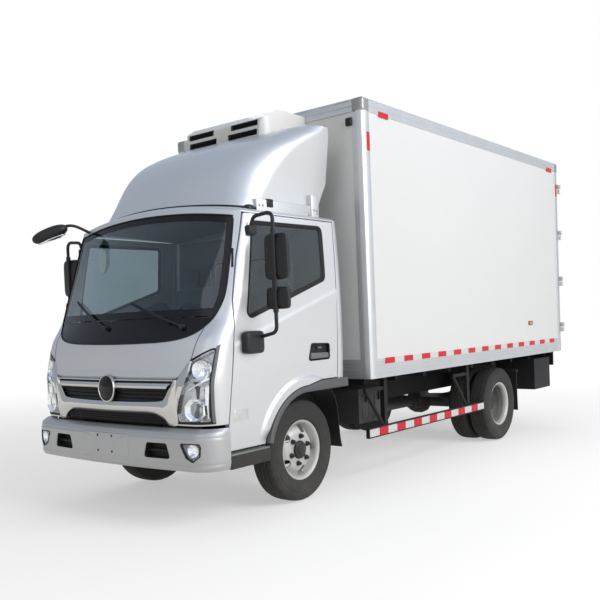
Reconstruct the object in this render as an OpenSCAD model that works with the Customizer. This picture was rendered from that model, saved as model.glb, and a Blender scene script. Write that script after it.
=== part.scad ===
// Light refrigerated truck: tilting cab, insulated box, cooling unit, twin rear wheels.
// Millimetres. Forward is -Y, the vehicle's left is +X, up is +Z; the ground is z = 0.
// Pieces are drawn with the front axle at y = 0 and moved once, at the end of the file.

/* [Layout] */
// distance between the axles
wheelbase = 3308; // [3250:1:3450]
// bumper face ahead of the front axle
front_overhang = 1150; // [1130:1:1180]
// front tyre centre to the middle of the truck
front_half_track = 787; // [770:1:800]
// outer rear tyre centre to the middle of the truck
rear_half_track = 892; // [885:1:900]
// distance between the centres of twin tyres
dual_pitch = 235; // [228:1:245]

/* [Wheels] */
// tyre outside diameter
tyre_d = 770; // [740:1:790]
// tyre width
tyre_w = 200; // [180:1:205]
// rim seat diameter
rim_d = 420; // [400:1:440]
// bolt circle of the wheel nuts
nut_pcd = 205; // [196:1:212]
// space round the front tyre's sweep
arch_r = 490; // [480:1:510]

/* [Cab] */
// widest part of the cab skin
cab_w = 1900; // [1860:1:1930]
// cab back, behind the front axle
cab_rear = 520; // [500:1:530]
// thickness of skin panels and doors
wall = 40; // [34:1:46]
// gap round each door
door_gap = 8; // [7:1:11]
// lower edge of the front panel
panel_z = 690; // [680:1:700]
// top edge of the doors' frames
roof_z = 2120; // [2080:1:2150]
// height of the roof's crown above its edge
roof_rise = 60; // [45:1:75]
// rear seam of the doors
door_rear = 395; // [380:1:410]
// cab floor underside
floor_z = 893; // [885:1:905]
// sheet thickness inside the cab
sheet = 25; // [18:1:30]
// glass thickness
glass = 8; // [6:1:10]

/* [Cargo box] */
// box front, behind the front axle
box_front = 712; // [690:1:730]
// outside length of the box
box_len = 4233; // [4150:1:4300]
// outside width of the box
box_w = 2110; // [2080:1:2160]
// outside height of the box
box_h = 2252; // [2200:1:2300]
// underside of the box floor
box_z = 861; // [855:1:875]
// thickness of the insulated walls and doors
box_wall = 80; // [70:1:90]
// thickness of the floor and the door sill
box_floor_t = 130; // [120:1:140]
// gap round the rear doors
rear_gap = 12; // [10:1:16]
// door hinge pin outboard of the box side
hinge_out = 32; // [30:1:36]
// door hinge pin behind the door face
hinge_back = 26; // [24:1:28]
// locking rod radius
rod_r = 12; // [10:1:13]

/* [Chassis] */
// underside of the frame rails
rail_z = 560; // [545:1:570]
// height of the frame rails
rail_h = 180; // [170:1:190]
// middle of a rail to the middle of the truck
rail_x = 375; // [365:1:385]
// width of a rail
rail_w = 70; // [60:1:80]
// kingpin to the middle of the truck
kingpin_x = 660; // [650:1:670]
// radius of kingpins and wheel spindles
pin_r = 26; // [22:1:28]
// running clearance of pins in their bores
run = 6; // [5.5:0.1:8]
// length of a steering arm behind the kingpin
arm_len = 170; // [160:1:180]

/* [Hidden] */
$fn = 48;
eps = 0.01;
axle_z = tyre_d / 2;
half_w = cab_w / 2;
box_rear = box_front + box_len;
box_top = box_z + box_h;
door_face = box_rear;
rear_reach = door_face + hinge_back + rod_r;
front_axle_y = (front_overhang - rear_reach) / 2;
rail_top = rail_z + rail_h;
sill_h = (box_z - rail_top) / 2;
dual_x = rear_half_track - dual_pitch / 2;
tilt_y = 75 - front_overhang;
tilt_z = panel_z - 5;
hinge_x = half_w + 6;
hinge_y = 280 - front_overhang;

// cab skin: height, setback of its middle from the bumper, narrowing, corner radius, sweep angle
SKIN = [
    [480, 84, 30, 190, 6], [panel_z, 68, 18, 182, 7], [820, 54, 12, 175, 7.5], [950, 53, 6, 165, 8],
    [1060, 74, 2, 155, 9], [1250, 110, 0, 140, 12], [1330, 140, 0, 132, 15], [1400, 167, 1, 125, 17.5],
    [1512, 210, 2, 120, 18], [1650, 264, 6, 118, 17], [1800, 324, 12, 115, 15.5], [1960, 388, 22, 112, 13.5],
    [roof_z, 452, 34, 110, 12], [roof_z + 60, 476, 42, 108, 11],
];
// bumper skin, same columns
BUMPER = [
    [395, 26, -4, 150, 7], [425, 8, -14, 160, 7.5], [480, 2, -18, 165, 8], [600, 2, -20, 165, 8],
    [645, 20, -18, 160, 7.5], [672, 66, -10, 150, 7],
];
// air deflector on the roof, same columns
DEFLECT = [
    [roof_z + 40, 546, 152, 206, 14], [roof_z + 90, 572, 156, 220, 14], [roof_z + 190, 615, 162, 260, 15],
    [roof_z + 300, 664, 158, 300, 16], [roof_z + 400, 730, 148, 320, 16], [roof_z + 490, 815, 136, 330, 16],
    [roof_z + 570, 925, 126, 330, 15], [roof_z + 640, 1070, 118, 320, 13], [roof_z + 710, 1250, 112, 290, 10],
    [roof_z + 765, 1430, 114, 200, 6],
];
// door front seam: height, distance from the bumper
SEAM = [[480, 290], [650, 300], [1512, 394], [1800, 470], [roof_z, 572]];

function at(t, z, c) = lookup(z, [for (r = t) [r[0], r[c]]]);
function seam(z) = lookup(z, SEAM) - front_overhang;
crown = 64;
function lift(z) = max(0, (z - 1900) / (roof_z - 1900)) * crown;

// one level of a skin, set in by e: half width, front, corner radius, sweep angle
function lev(t, z, e) = [half_w - at(t, z, 2) - e, at(t, z, 1) - front_overhang + e,
    max(12, at(t, z, 3) - e), at(t, z, 4)];
function lev_x(l) = l[0] - l[2] + l[2] * sin(l[3]);
function lev_d(l) = l[1] + lev_x(l) * tan(l[3]) / 2;
function lev_c(l) = lev_d(l) + l[2] * cos(l[3]);
function side_x(l, d) = d > lev_c(l) ? l[0]
    : l[0] - l[2] + sqrt(max(0, l[2] * l[2] - pow(lev_c(l) - d, 2)));
function crowned(p, w, z, k) = [p[0], p[1], z + k * (1 - pow(p[0] / w, 2))];

// left side from depth d1 to the corner, then the front, then the right side back to d1
function row(t, z, e, d1, ns, nf, k) = let(l = lev(t, z, e), c = min(lev_d(l), d1 - 6),
    m = lev_x(l) * sqrt((c - l[1]) / (lev_d(l) - l[1])),
    left = [for (j = [ns:-1:1]) let(d = c + (d1 - c) * pow(j / ns, 1.6)) [max(m, side_x(l, d)), d]],
    front = [for (i = [nf:-1:-nf]) [m * i / nf, l[1] + (c - l[1]) * pow(i / nf, 2)]])
    [for (p = concat(left, front, [for (i = [1:ns]) [-left[ns - i][0], left[ns - i][1]]])) crowned(p, l[0], z, k)];

// closed skin between two grids of points, outer and inner, rows by columns
module skin(outer, inner) {
    n = len(outer);
    m = len(outer[0]);
    o = n * m;
    pts = concat([for (r = outer) for (p = r) p], [for (r = inner) for (p = r) p]);
    outside = [for (i = [0:n - 2]) for (j = [0:m - 2]) let(a = i * m + j)
        each [[a, a + m, a + 1], [a + 1, a + m, a + m + 1]]];
    inside = [for (f = outside) [f[0] + o, f[2] + o, f[1] + o]];
    low = [for (j = [0:m - 2]) each [[j, j + 1, o + j], [j + 1, o + j + 1, o + j]]];
    top = [for (j = [0:m - 2]) let(a = (n - 1) * m + j) each [[a, o + a, a + 1], [a + 1, o + a, o + a + 1]]];
    ends = [for (i = [0:n - 2]) let(a = i * m, b = a + m - 1)
        each [[a, o + a, a + m], [a + m, o + a, o + a + m], [b, b + m, o + b], [b + m, o + b + m, o + b]]];
    polyhedron(pts, [for (f = concat(outside, inside, low, top, ends)) [f[2], f[1], f[0]]], convexity = 6);
}

// closed cap between two stacks of rings, outer and inner, each ending in a point
module cap(outer, inner, apex_out, apex_in) {
    n = len(outer);
    m = len(outer[0]);
    o = n * m;
    pts = concat([for (r = outer) for (p = r) p], [for (r = inner) for (p = r) p], [apex_out, apex_in]);
    outside = [for (i = [0:n - 2]) for (j = [0:m - 1]) let(a = i * m + j, b = i * m + (j + 1) % m)
        each [[a, a + m, b], [b, a + m, b + m]]];
    fan = [for (j = [0:m - 1]) let(a = (n - 1) * m + j, b = (n - 1) * m + (j + 1) % m) [a, 2 * o, b]];
    inside = [for (f = outside) [f[0] + o, f[2] + o, f[1] + o]];
    under = [for (f = fan) [f[0] + o, f[2] + o, 2 * o + 1]];
    rim = [for (j = [0:m - 1]) let(b = (j + 1) % m) each [[j, b, o + j], [b, o + b, o + j]]];
    polyhedron(pts, [for (f = concat(outside, fan, inside, under, rim)) [f[2], f[1], f[0]]], convexity = 4);
}

// part of the front skin between depths of e0 and e1 below the surface, at the listed heights
module front_skin(t, zs, e0, e1, ends, ks, nf = 7, ns = 4) {
    skin([for (i = [0:len(zs) - 1]) row(t, zs[i], e0, ends[i], ns, nf, ks[i])],
         [for (i = [0:len(zs) - 1]) row(t, zs[i], e1, ends[i], ns, nf, ks[i])]);
}

// left side skin between depth lists d0 and d1 at the listed heights
module side_skin(zs, e0, e1, d0, d1, n = 7) {
    function pt(i, j, e) = let(d = d0[i] + (d1[i] - d0[i]) * pow(j / n, 1.8))
        [side_x(lev(SKIN, zs[i], e), d), d, zs[i]];
    skin([for (i = [0:len(zs) - 1]) [for (j = [n:-1:0]) pt(i, j, e0)]],
         [for (i = [0:len(zs) - 1]) [for (j = [n:-1:0]) pt(i, j, e1)]]);
}

// a curved skin with its cuts, taken as one mesh at its own size
module one_mesh() { resize([0, 0, 0]) children(); }
module both() { children(); mirror([1, 0, 0]) children(); }
module box(lo, hi) { translate(lo) cube(hi - lo); }
module bar_x(x0, x1, y, z, r) { translate([x0, y, z]) rotate([0, 90, 0]) cylinder(r = r, h = x1 - x0); }
module bar_y(y0, y1, x, z, r) { translate([x, y0, z]) rotate([-90, 0, 0]) cylinder(r = r, h = y1 - y0); }
module bar_z(z0, z1, x, y, r) { translate([x, y, z0]) cylinder(r = r, h = z1 - z0); }
// outline in x and z pushed through the depths y0 to y1
module through(y0, y1) { translate([0, y1, 0]) rotate([90, 0, 0]) linear_extrude(y1 - y0) children(); }
// outline in y and z pushed through the widths x0 to x1
module across(x0, x1) { translate([x0, 0, 0]) rotate([90, 0, 90]) linear_extrude(x1 - x0) children(); }

function unit(v) = v / norm(v);
// arc that rounds the corner b between a and c
function fillet(a, b, c, r, n) = let(u = unit(a - b), v = unit(c - b), h = acos(u * v) / 2,
    m = b + unit(u + v) * r / sin(h), p = b + u * r / tan(h) - m, q = b + v * r / tan(h) - m,
    s = atan2(p[1], p[0]), w = atan2(q[1], q[0]) - s, k = w > 180 ? w - 360 : w < -180 ? w + 360 : w)
    [for (i = [0:n]) m + r * [cos(s + k * i / n), sin(s + k * i / n)]];
function rounded(p, r, n = 4) = let(k = len(p))
    [for (i = [0:k - 1]) each fillet(p[(i + k - 1) % k], p[i], p[(i + 1) % k], r, n)];
// heights of a skin table that lie between z0 and z1, with both ends
function levels(t, z0, z1) = concat([z0], [for (r = t) if (r[0] > z0 + 8 && r[0] < z1 - 8) r[0]], [z1]);
function rear_seam(z) = door_rear + (z - 900) * 0.03;

// cab front: panel below the screen, corner pillars and the frame round the screen
FRONT_Z = levels(SKIN, panel_z, roof_z);
FRONT_END = [for (z = FRONT_Z) seam(z) - door_gap / 2];
FRONT_K = [for (z = FRONT_Z) lift(z)];
screen_low = 1412;
SCREEN = rounded([[-640, 1284], [-330, 1254], [0, 1244], [330, 1254], [640, 1284], [812, 1342], [884, 1490],
    [846, roof_z - 20], [440, roof_z + 30], [0, roof_z + 46], [-440, roof_z + 30], [-846, roof_z - 20],
    [-884, 1490], [-812, 1342]], 56);
LAMP = rounded([[640, panel_z + 14], [902, panel_z + 14], [926, 1212], [752, 1128]], 18);
GRILLE = rounded([[-575, panel_z + 26], [575, panel_z + 26], [690, 1046], [-690, 1046]], 24);
lamp_end = 292 - front_overhang;

module front_slice(e0, e1) { front_skin(SKIN, FRONT_Z, e0, e1, FRONT_END, FRONT_K); }
module screen_zone(z0 = 1000, z1 = roof_z + 100) {
    through(-front_overhang, -500) intersection() {
        polygon(SCREEN);
        translate([-half_w, z0]) square([2 * half_w, z1 - z0]);
    }
}
module lamp_zone() { through(-front_overhang, lamp_end) polygon(LAMP); }
module grille_zone() { through(-front_overhang, -700) polygon(GRILLE); }

module cab_front() color("#c9ccd0") one_mesh() difference() {
    front_slice(0, wall);
    screen_zone();
    both() lamp_zone();
    grille_zone();
}

module windscreen() color("#20262b") one_mesh() intersection() {
    front_slice(3, 3 + glass);
    screen_zone(z0 = screen_low);
}

// dark cover under the screen, over the wiper arms' shafts
module cowl_panel() color("#17181a") one_mesh() intersection() {
    front_slice(2, 24);
    screen_zone(z1 = screen_low);
}

module grille() color("#1b1c1e") one_mesh() {
    intersection() {
        front_slice(22, wall);
        grille_zone();
    }
    intersection() {
        front_slice(4, 24);
        grille_zone();
        union() {
            box([-800, -front_overhang, 1006], [800, -700, 1046]);
            for (z = [760, 800, 962]) box([-800, -front_overhang, z], [800, -700, z + 14]);
            through(-front_overhang, -700) polygon([[-800, 836], [800, 836], [800, 880], [560, 880],
                [-560, 880], [-800, 880]]);
        }
    }
}

module headlamps() color("#dfe4e8") one_mesh() both() intersection() {
    front_slice(0, wall);
    lamp_zone();
}

// door: outer skin with the window cut, and the wheel arch cut from its lower edge
door_low = 505;
DOOR_Z = levels(SKIN, door_low, roof_z - door_gap);
DOOR_D0 = [for (z = DOOR_Z) seam(z) + door_gap / 2];
DOOR_D1 = [for (z = DOOR_Z) rear_seam(z) - door_gap / 2];
WINDOW = rounded([[seam(1372) + 120, 1372], [door_rear - 120, 1662], [door_rear - 112, roof_z - 52],
    [seam(roof_z - 52) + 68, roof_z - 62]], 45);

module door_slice(e0, e1) { side_skin(DOOR_Z, e0, e1, DOOR_D0, DOOR_D1); }
module window_zone() { across(half_w - 300, half_w + 100) polygon(WINDOW); }

module door_skin() one_mesh() difference() {
    door_slice(0, wall);
    window_zone();
    bar_x(half_w - 300, half_w + 100, 0, axle_z, arch_r);
    box([half_w - 300, 0, 400], [half_w + 100, door_rear + 200, floor_z + 12]);
}
module door_glass() one_mesh() intersection() {
    door_slice(12, 12 + glass);
    window_zone();
}

// mirror arm: a bent tube on two feet, with a large and a small head
arm_x = half_w + 188;
arm_d = 590 - front_overhang;
module mirror_set() one_mesh() {
    difference() {
        union() {
            bar_x(half_w - 50, arm_x, arm_d, 1985, 13);
            bar_z(1235, 1985, arm_x, arm_d, 13);
            bar_x(half_w - 20, arm_x, arm_d, 1235, 13);
            for (z = [1235, 1985]) translate([arm_x, arm_d, z]) sphere(r = 13, $fn = 24);
            bar_x(half_w - 50, half_w + 4, arm_d, 1985, 26);
            bar_x(half_w - 20, half_w + 22, arm_d, 1235, 26);
        }
        door_slice(0, wall);
    }
    translate([arm_x, arm_d, 1440]) mirror_head(190, 150);
    translate([arm_x, arm_d, 1640]) mirror_head(200, 310);
}
module mirror_head(w, h) {
    translate([-w / 2, -34, 0]) linear_extrude(h)
        polygon(rounded([[0, 0], [w, 0], [w, 74], [0, 74]], 24));
}

module door_left() color("#c9ccd0") door_skin();
module door_right() color("#c9ccd0") mirror([1, 0, 0]) door_skin();
module door_glass_left() color("#20262b") door_glass();
module door_glass_right() color("#20262b") mirror([1, 0, 0]) door_glass();
module mirror_left() color("#151617") mirror_set();
module mirror_right() color("#151617") mirror([1, 0, 0]) mirror_set();

// cab back: rear wall and the posts behind the doors
REAR_Z = levels(SKIN, floor_z, roof_z);
function rear_row(z, e, d0) = let(w = lev(SKIN, z, e)[0], r = max(12, 70 - e), y = cab_rear - e, k = lift(z),
    right = concat([[-w, d0]], [for (a = [0:30:90]) [-(w - r) - r * cos(a), y - r + r * sin(a)]], [[-w / 2, y]]),
    n = len(right))
    [for (p = concat(right, [[0, y]], [for (i = [1:n]) [-right[n - i][0], right[n - i][1]]])) crowned(p, w, z, k)];
module rear_slice(e0, e1) {
    skin([for (z = REAR_Z) rear_row(z, e0, rear_seam(z) + door_gap / 2)],
         [for (z = REAR_Z) rear_row(z, e1, rear_seam(z) + door_gap / 2)]);
}
module cab_rear_wall() color("#c9ccd0") one_mesh() difference() {
    rear_slice(0, wall);
    through(0, cab_rear + 10) polygon(rounded([[-480, 1560], [480, 1560], [480, 1900], [-480, 1900]], 60));
}

// roof: a shallow dome on the edge that the front, the posts and the door frames share
mid_d = -90;
function ring(e, s, up) = [for (p = concat(row(SKIN, roof_z, e, seam(roof_z) - door_gap / 2, 4, 7, lift(roof_z)),
    rear_row(roof_z, e, rear_seam(roof_z) + door_gap / 2)))
    [p[0] * s, mid_d + (p[1] - mid_d) * s, p[2] + up * sqrt(max(0, 1 - pow(s, 6)))]];
RINGS = [1, 0.985, 0.955, 0.9, 0.78, 0.5];
module cab_roof() color("#c9ccd0") cap([for (s = RINGS) ring(0, s, roof_rise)],
    [for (s = RINGS) ring(wall, s, roof_rise - wall * 0.7)],
    [0, mid_d, roof_z + crown + roof_rise], [0, mid_d, roof_z + crown + roof_rise - wall * 0.7]);

// space inside the cab skin, for cutting floors and panels to it
INNER_Z = levels(SKIN, door_low, roof_z);
module cab_space(e, x) {
    n = 2 * (4 + 7) + 1;
    rows = [for (z = INNER_Z) concat(row(SKIN, z, e, cab_rear - e, 4, 7, 0))];
    m = len(rows[0]);
    pts = [for (r = rows) for (p = r) p];
    k = len(rows);
    outside = [for (i = [0:k - 2]) for (j = [0:m - 1]) let(a = i * m + j, b = i * m + (j + 1) % m)
        each [[a, a + m, b], [b, a + m, b + m]]];
    low = [for (j = [0:m - 1]) j];
    top = [for (j = [m - 1:-1:0]) (k - 1) * m + j];
    intersection() {
        polyhedron(pts, [for (f = concat(outside, [low, top])) [for (i = [len(f) - 1:-1:0]) f[i]]], convexity = 4);
        box([-x, -front_overhang, 0], [x, cab_rear + 10, 4000]);
    }
}

// cab floor: flat over the wheels, a step down to each foot well, a tunnel over the engine
well_z = 575;
well_x = rail_x + rail_w / 2 + 22;
well_d0 = 190 - front_overhang;
well_d1 = -arch_r - 22;
side_limit = half_w - 30 - wall - 16;
module cab_floor() color("#3a3d40") one_mesh() {
    intersection() {
        union() {
            box([-half_w, well_d1, floor_z], [half_w, cab_rear, floor_z + sheet]);
            box([-well_x - sheet, well_d0 - 200, floor_z], [well_x + sheet, well_d1 + 10, floor_z + sheet]);
            both() {
                box([well_x, well_d0, well_z], [half_w, well_d1 + sheet, well_z + sheet]);
                box([well_x, well_d0, well_z], [well_x + sheet, well_d1 + sheet, floor_z + sheet]);
                box([well_x, well_d1, well_z], [half_w, well_d1 + sheet, floor_z + sheet]);
                box([well_x, well_d0 - sheet, well_z], [half_w, well_d0, 980]);
            }
            box([-half_w, well_d0 - sheet, floor_z], [half_w, well_d0, 980]);
        }
        cab_space(wall, side_limit);
    }
}

// dashboard with the steering column
dash_z = 1000;
column_x = 420;
wheel_at = [column_x, 640 - front_overhang, 1395];
wheel_tilt = -32;
module dashboard() color("#2a2c2f") one_mesh() {
    difference() {
        intersection() {
            across(-half_w, half_w) polygon(rounded([[-1200, dash_z - 20], [well_d0 + 150, dash_z - 20],
                [well_d0 + 330, dash_z + 130], [well_d0 + 330, 1300], [well_d0 + 240, 1345], [-1200, 1345]], 30));
            cab_space(wall + 14, side_limit - 20);
        }
        box([-half_w, -1200, 0], [half_w, well_d0, dash_z]);
    }
    intersection() {
        translate(wheel_at) rotate([wheel_tilt, 0, 0]) translate([0, 0, -330]) cylinder(r = 32, h = 300);
        box([0, well_d0 + 300, 900], [half_w, 200, 1600]);
    }
    box([-300, well_d0, floor_z + sheet], [300, well_d0 + 120, dash_z]);
}

module steering_wheel() color("#151617") translate(wheel_at) rotate([wheel_tilt, 0, 0]) {
    rotate_extrude() translate([195, 0]) circle(r = 14, $fn = 20);
    translate([0, 0, -18]) cylinder(r = 58, h = 30);
    for (a = [90, 210, 330]) rotate([0, 0, a]) box([40, -16, -12], [190, 16, 4]);
}

// driver's seat and the two-place bench beside it
module seat(x, w) {
    translate([x, 0, 0]) {
        box([-w / 2 + 40, -330, floor_z + sheet], [w / 2 - 40, 60, floor_z + sheet + 120]);
        box([-w / 2, -400, floor_z + sheet + 120], [w / 2, 90, floor_z + sheet + 260]);
        translate([0, 72, floor_z + sheet + 180]) rotate([-12, 0, 0])
            box([-w / 2, 0, 0], [w / 2, 110, 600]);
        translate([0, 196, floor_z + sheet + 740]) rotate([-12, 0, 0]) box([-110, 10, 0], [110, 95, 210]);
    }
}
module seats() color("#3c3d40") {
    seat(column_x, 480);
    seat(-300, 860);
}

// air deflector: a hollow cowl on the roof, open at the back round the cooling unit
unit_x = 485;
unit_z0 = 2570;
unit_front = 185;
DEFLECT_Z = [for (r = DEFLECT) r[0]];
DEFLECT_END = [for (z = DEFLECT_Z) cab_rear + 20 - 180 * max(0, 1 - (z - roof_z) / 320)];
DEFLECT_K = [for (z = DEFLECT_Z) crown * max(0, 1 - (z - roof_z) / 300)];
module deflector() color("#ced2d6") one_mesh() difference() {
    front_skin(DEFLECT, DEFLECT_Z, 0, 16, DEFLECT_END, DEFLECT_K, nf = 8, ns = 6);
    cab_roof();
    box([-unit_x - 60, unit_front - 75, unit_z0 - 120], [unit_x + 60, cab_rear + 100, 3300]);
}

// long mirror ahead of the screen's right corner, on an arm from the corner pillar
FRONT_ARM = [[-735, 545, roof_z + 8], [-770, 400, roof_z + 66], [-830, 330, roof_z + 62],
    [-870, 290, roof_z + 36]];
module front_mirror() color("#151617") one_mesh() {
    difference() {
        translate([0, -front_overhang, 0]) for (i = [0:2]) hull() for (p = [FRONT_ARM[i], FRONT_ARM[i + 1]])
            translate(p) sphere(r = 12, $fn = 16);
        front_slice(0, wall);
        cab_roof();
    }
    translate([-900, 255 - front_overhang, roof_z + 6]) rotate([0, -20, 40]) scale([1, 0.46, 0.36])
        sphere(r = 150, $fn = 24);
}

// frame: two rails, cross members, the box's sills and bearers
rail_front = 170 - front_overhang;
rail_end = box_rear - 130;
rest_d = cab_rear - 110;
module frame() color("#26282a") {
    both() {
        box([rail_x - rail_w / 2, rail_front, rail_z], [rail_x + rail_w / 2, rail_end, rail_top]);
        box([rail_x - rail_w / 2, box_front + 60, rail_top - eps], [rail_x + rail_w / 2, box_rear - 20, rail_top + sill_h]);
    }
    for (d = [rail_front + 60, 980, 1700, 2500, wheelbase + 560, rail_end - 60])
        box([-rail_x, d - 30, rail_z + 40], [rail_x, d + 30, rail_top - 20]);
    both() box([rail_x - rail_w / 2, rest_d - 30, rail_top - eps], [rail_x + rail_w / 2, rest_d + 30, floor_z - run]);
    for (i = [0:8]) let(d = box_front + 140 + i * (box_len - 280) / 8)
        box([-box_w / 2 + 150, d - 25, rail_top + sill_h - eps], [box_w / 2 - 150, d + 25, box_z]);
}

// front axle: dropped beam with an eye at each end, on a leaf spring under each rail
beam_z = axle_z - 85;
spring_z = beam_z + 70;
eye_d = 560;
module leaf(y, z0) across(rail_x - 32, rail_x + 32) polygon([
    [y - eye_d, rail_z - 62], [y - eye_d / 2, z0 + 32], [y - 60, z0], [y + 60, z0], [y + eye_d / 2, z0 + 32],
    [y + eye_d, rail_z - 62], [y + eye_d + 40, rail_z], [y + eye_d - 60, rail_z], [y + eye_d - 40, rail_z - 30],
    [y + eye_d / 2, z0 + 76], [y + 60, z0 + 56], [y - 60, z0 + 56], [y - eye_d / 2, z0 + 76],
    [y - eye_d + 40, rail_z - 30], [y - eye_d + 60, rail_z], [y - eye_d - 40, rail_z]]);
module front_axle() color("#2b2d2f") {
    difference() {
        union() {
            box([-kingpin_x, -36, beam_z], [kingpin_x, 36, beam_z + 70]);
            both() bar_z(beam_z, beam_z + 70, kingpin_x, 0, 45);
        }
        both() bar_z(beam_z - 5, beam_z + 80, kingpin_x, 0, pin_r + run);
    }
    both() leaf(0, spring_z);
}

// steering knuckle: lugs over and under the axle's eye, the wheel's spindle, and the steering arm
arm_z = beam_z - run - 26;
ball_r = 13;
module knuckle() {
    bar_z(arm_z, beam_z + 70 + run + 26, kingpin_x, 0, pin_r);
    for (z = [arm_z, beam_z + 70 + run]) box([kingpin_x - 36, -36, z], [kingpin_x + 72, 36, z + 26]);
    box([kingpin_x + 52, -36, arm_z], [kingpin_x + 72, 36, axle_z + 45]);
    bar_x(kingpin_x + 60, front_half_track + 48, 0, axle_z, pin_r);
    box([kingpin_x - 18, 20, arm_z], [kingpin_x + 18, arm_len + 22, arm_z + 26]);
    bar_z(arm_z + 10, arm_z + 72, kingpin_x, arm_len, ball_r);
}
module knuckle_left() color("#3a3c3e") knuckle();
module knuckle_right() color("#3a3c3e") mirror([1, 0, 0]) knuckle();
module tie_rod() color("#3a3c3e") difference() {
    union() {
        bar_x(-kingpin_x, kingpin_x, arm_len, arm_z + 50, 15);
        both() bar_z(arm_z + 34, arm_z + 66, kingpin_x, arm_len, 34);
    }
    both() bar_z(arm_z, arm_z + 90, kingpin_x, arm_len, ball_r + run);
}

// tyres and rims, turned about the axle: radius, distance from the wheel's middle
rim_r = rim_d / 2;
tyre_r = tyre_d / 2;
half_t = tyre_w / 2;
seat_t = 0.72 * half_t;
TYRE = [[rim_r, seat_t], [rim_r + 18, 0.88 * half_t], [0.72 * tyre_r, 0.98 * half_t], [0.8 * tyre_r, half_t],
    [tyre_r - 46, 0.98 * half_t], [tyre_r - 24, 0.9 * half_t], [tyre_r - 9, 0.78 * half_t], [tyre_r, 0.6 * half_t]];
module turned(x) { translate([x, 0, axle_z]) rotate([0, 90, 0]) rotate_extrude($fn = 64) children(); }
module tyre_at(x) turned(x) polygon(concat(TYRE, [for (i = [7:-1:0]) [TYRE[i][0], -TYRE[i][1]]]));
module front_rim() difference() {
    turned(front_half_track) {
        translate([rim_r - 12, -seat_t]) square([12, 2 * seat_t]);
        polygon([[70, 44], [126, 44], [150, 34], [rim_r - 8, -16], [rim_r - 8, 2], [158, 46], [130, 58], [70, 58]]);
        polygon([[pin_r + run, -20], [78, -20], [78, 66], [60, 88], [0, 88], [0, 76], [pin_r + run, 76]]);
    }
    translate([front_half_track, 0, axle_z]) rotate([0, 90, 0])
        for (a = [36:72:324]) rotate([0, 0, a]) translate([nut_pcd / 2 + 62, 0, 0])
            cylinder(r = 33, h = 200, center = true, $fn = 32);
}
stub_r = pin_r + 16;
dish = dual_pitch / 2 - seat_t;
module rear_rim() difference() {
    turned(dual_x) {
        for (s = [-1, 1]) translate([rim_r - 12, s * dual_pitch / 2 - seat_t]) square([12, 2 * seat_t]);
        polygon([[stub_r + run, -12], [150, -12], [rim_r - 8, -dish - 14], [rim_r - 8, -dish], [160, 0],
            [rim_r - 8, dish], [rim_r - 8, dish + 14], [150, 12], [stub_r + run, 12]]);
        polygon([[stub_r + run, -22], [98, -22], [98, 60], [84, 112], [0, 112], [0, 100], [stub_r + run, 100]]);
    }
    translate([dual_x, 0, axle_z]) rotate([0, 90, 0])
        for (a = [36:72:324]) rotate([0, 0, a]) translate([nut_pcd / 2 + 62, 0, 0])
            cylinder(r = 26, h = 160, center = true, $fn = 32);
}
module to_rear() { translate([0, wheelbase, 0]) children(); }
module front_tyre_left() color("#1a1a1b") tyre_at(front_half_track);
module front_tyre_right() color("#1a1a1b") mirror([1, 0, 0]) tyre_at(front_half_track);
module front_rim_left() color("#c4c7ca") front_rim();
module front_rim_right() color("#c4c7ca") mirror([1, 0, 0]) front_rim();
module rear_tyre_left_outer() color("#1a1a1b") to_rear() tyre_at(rear_half_track);
module rear_tyre_left_inner() color("#1a1a1b") to_rear() tyre_at(rear_half_track - dual_pitch);
module rear_tyre_right_outer() color("#1a1a1b") to_rear() mirror([1, 0, 0]) tyre_at(rear_half_track);
module rear_tyre_right_inner() color("#1a1a1b") to_rear() mirror([1, 0, 0]) tyre_at(rear_half_track - dual_pitch);
module rear_rim_left() color("#c4c7ca") to_rear() rear_rim();
module rear_rim_right() color("#c4c7ca") to_rear() mirror([1, 0, 0]) rear_rim();

// rear axle: tube and final drive under two leaf springs
rear_beam_z = axle_z + 48;
pinion_d = 190;
// half of the axle's turned outline: radius, distance from the middle
AXLE = [[0, dual_x + 90], [stub_r, dual_x + 90], [stub_r, dual_x - 30], [56, dual_x - 30], [56, 135], [112, 92],
    [134, 38]];
module rear_axle() color("#2b2d2f") {
    to_rear() {
        turned(0) polygon([for (s = [-1, 1]) each [for (i = [0:6]) let(p = AXLE[s < 0 ? i : 6 - i]) [p[0], s * p[1]]]]);
        bar_y(-pinion_d, 0, 0, axle_z, 72);
        both() box([rail_x - 40, -60, axle_z], [rail_x + 40, 60, rear_beam_z + eps]);
    }
    both() leaf(wheelbase, rear_beam_z);
}

// engine, gearbox and the shaft to the rear axle
gearbox_end = 900;
module powertrain() color("#4a4d50") {
    box([-260, -420, 440], [260, 330, floor_z - 34]);
    box([-170, 330 - eps, axle_z - 75], [170, gearbox_end, rail_top - 40]);
    box([-rail_x + rail_w / 2, 120, rail_z + 30], [rail_x - rail_w / 2, 200, rail_z + 90]);
    bar_y(gearbox_end - eps, wheelbase - pinion_d, 0, axle_z, 42);
}

rail_out = rail_x + rail_w / 2;
module fuel_tank() color("#8d9195") {
    mirror([1, 0, 0]) translate([0, 1180, 0]) rotate([-90, 0, 0]) linear_extrude(760)
        polygon(rounded([[rail_out + 70, -400], [guard_x - 120, -400], [guard_x - 120, -720], [rail_out + 70, -720]], 50));
    for (d = [1330, 1740]) box([-rail_out - 80, d, 600], [-rail_out, d + 50, 690]);
}
module battery_box() color("#5d6063") {
    box([rail_out + 90, 830, 470], [guard_x - 160, 1230, 760]);
    for (d = [900, 1110]) box([rail_out, d, 600], [rail_out + 90 + eps, d + 50, 690]);
}

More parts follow.
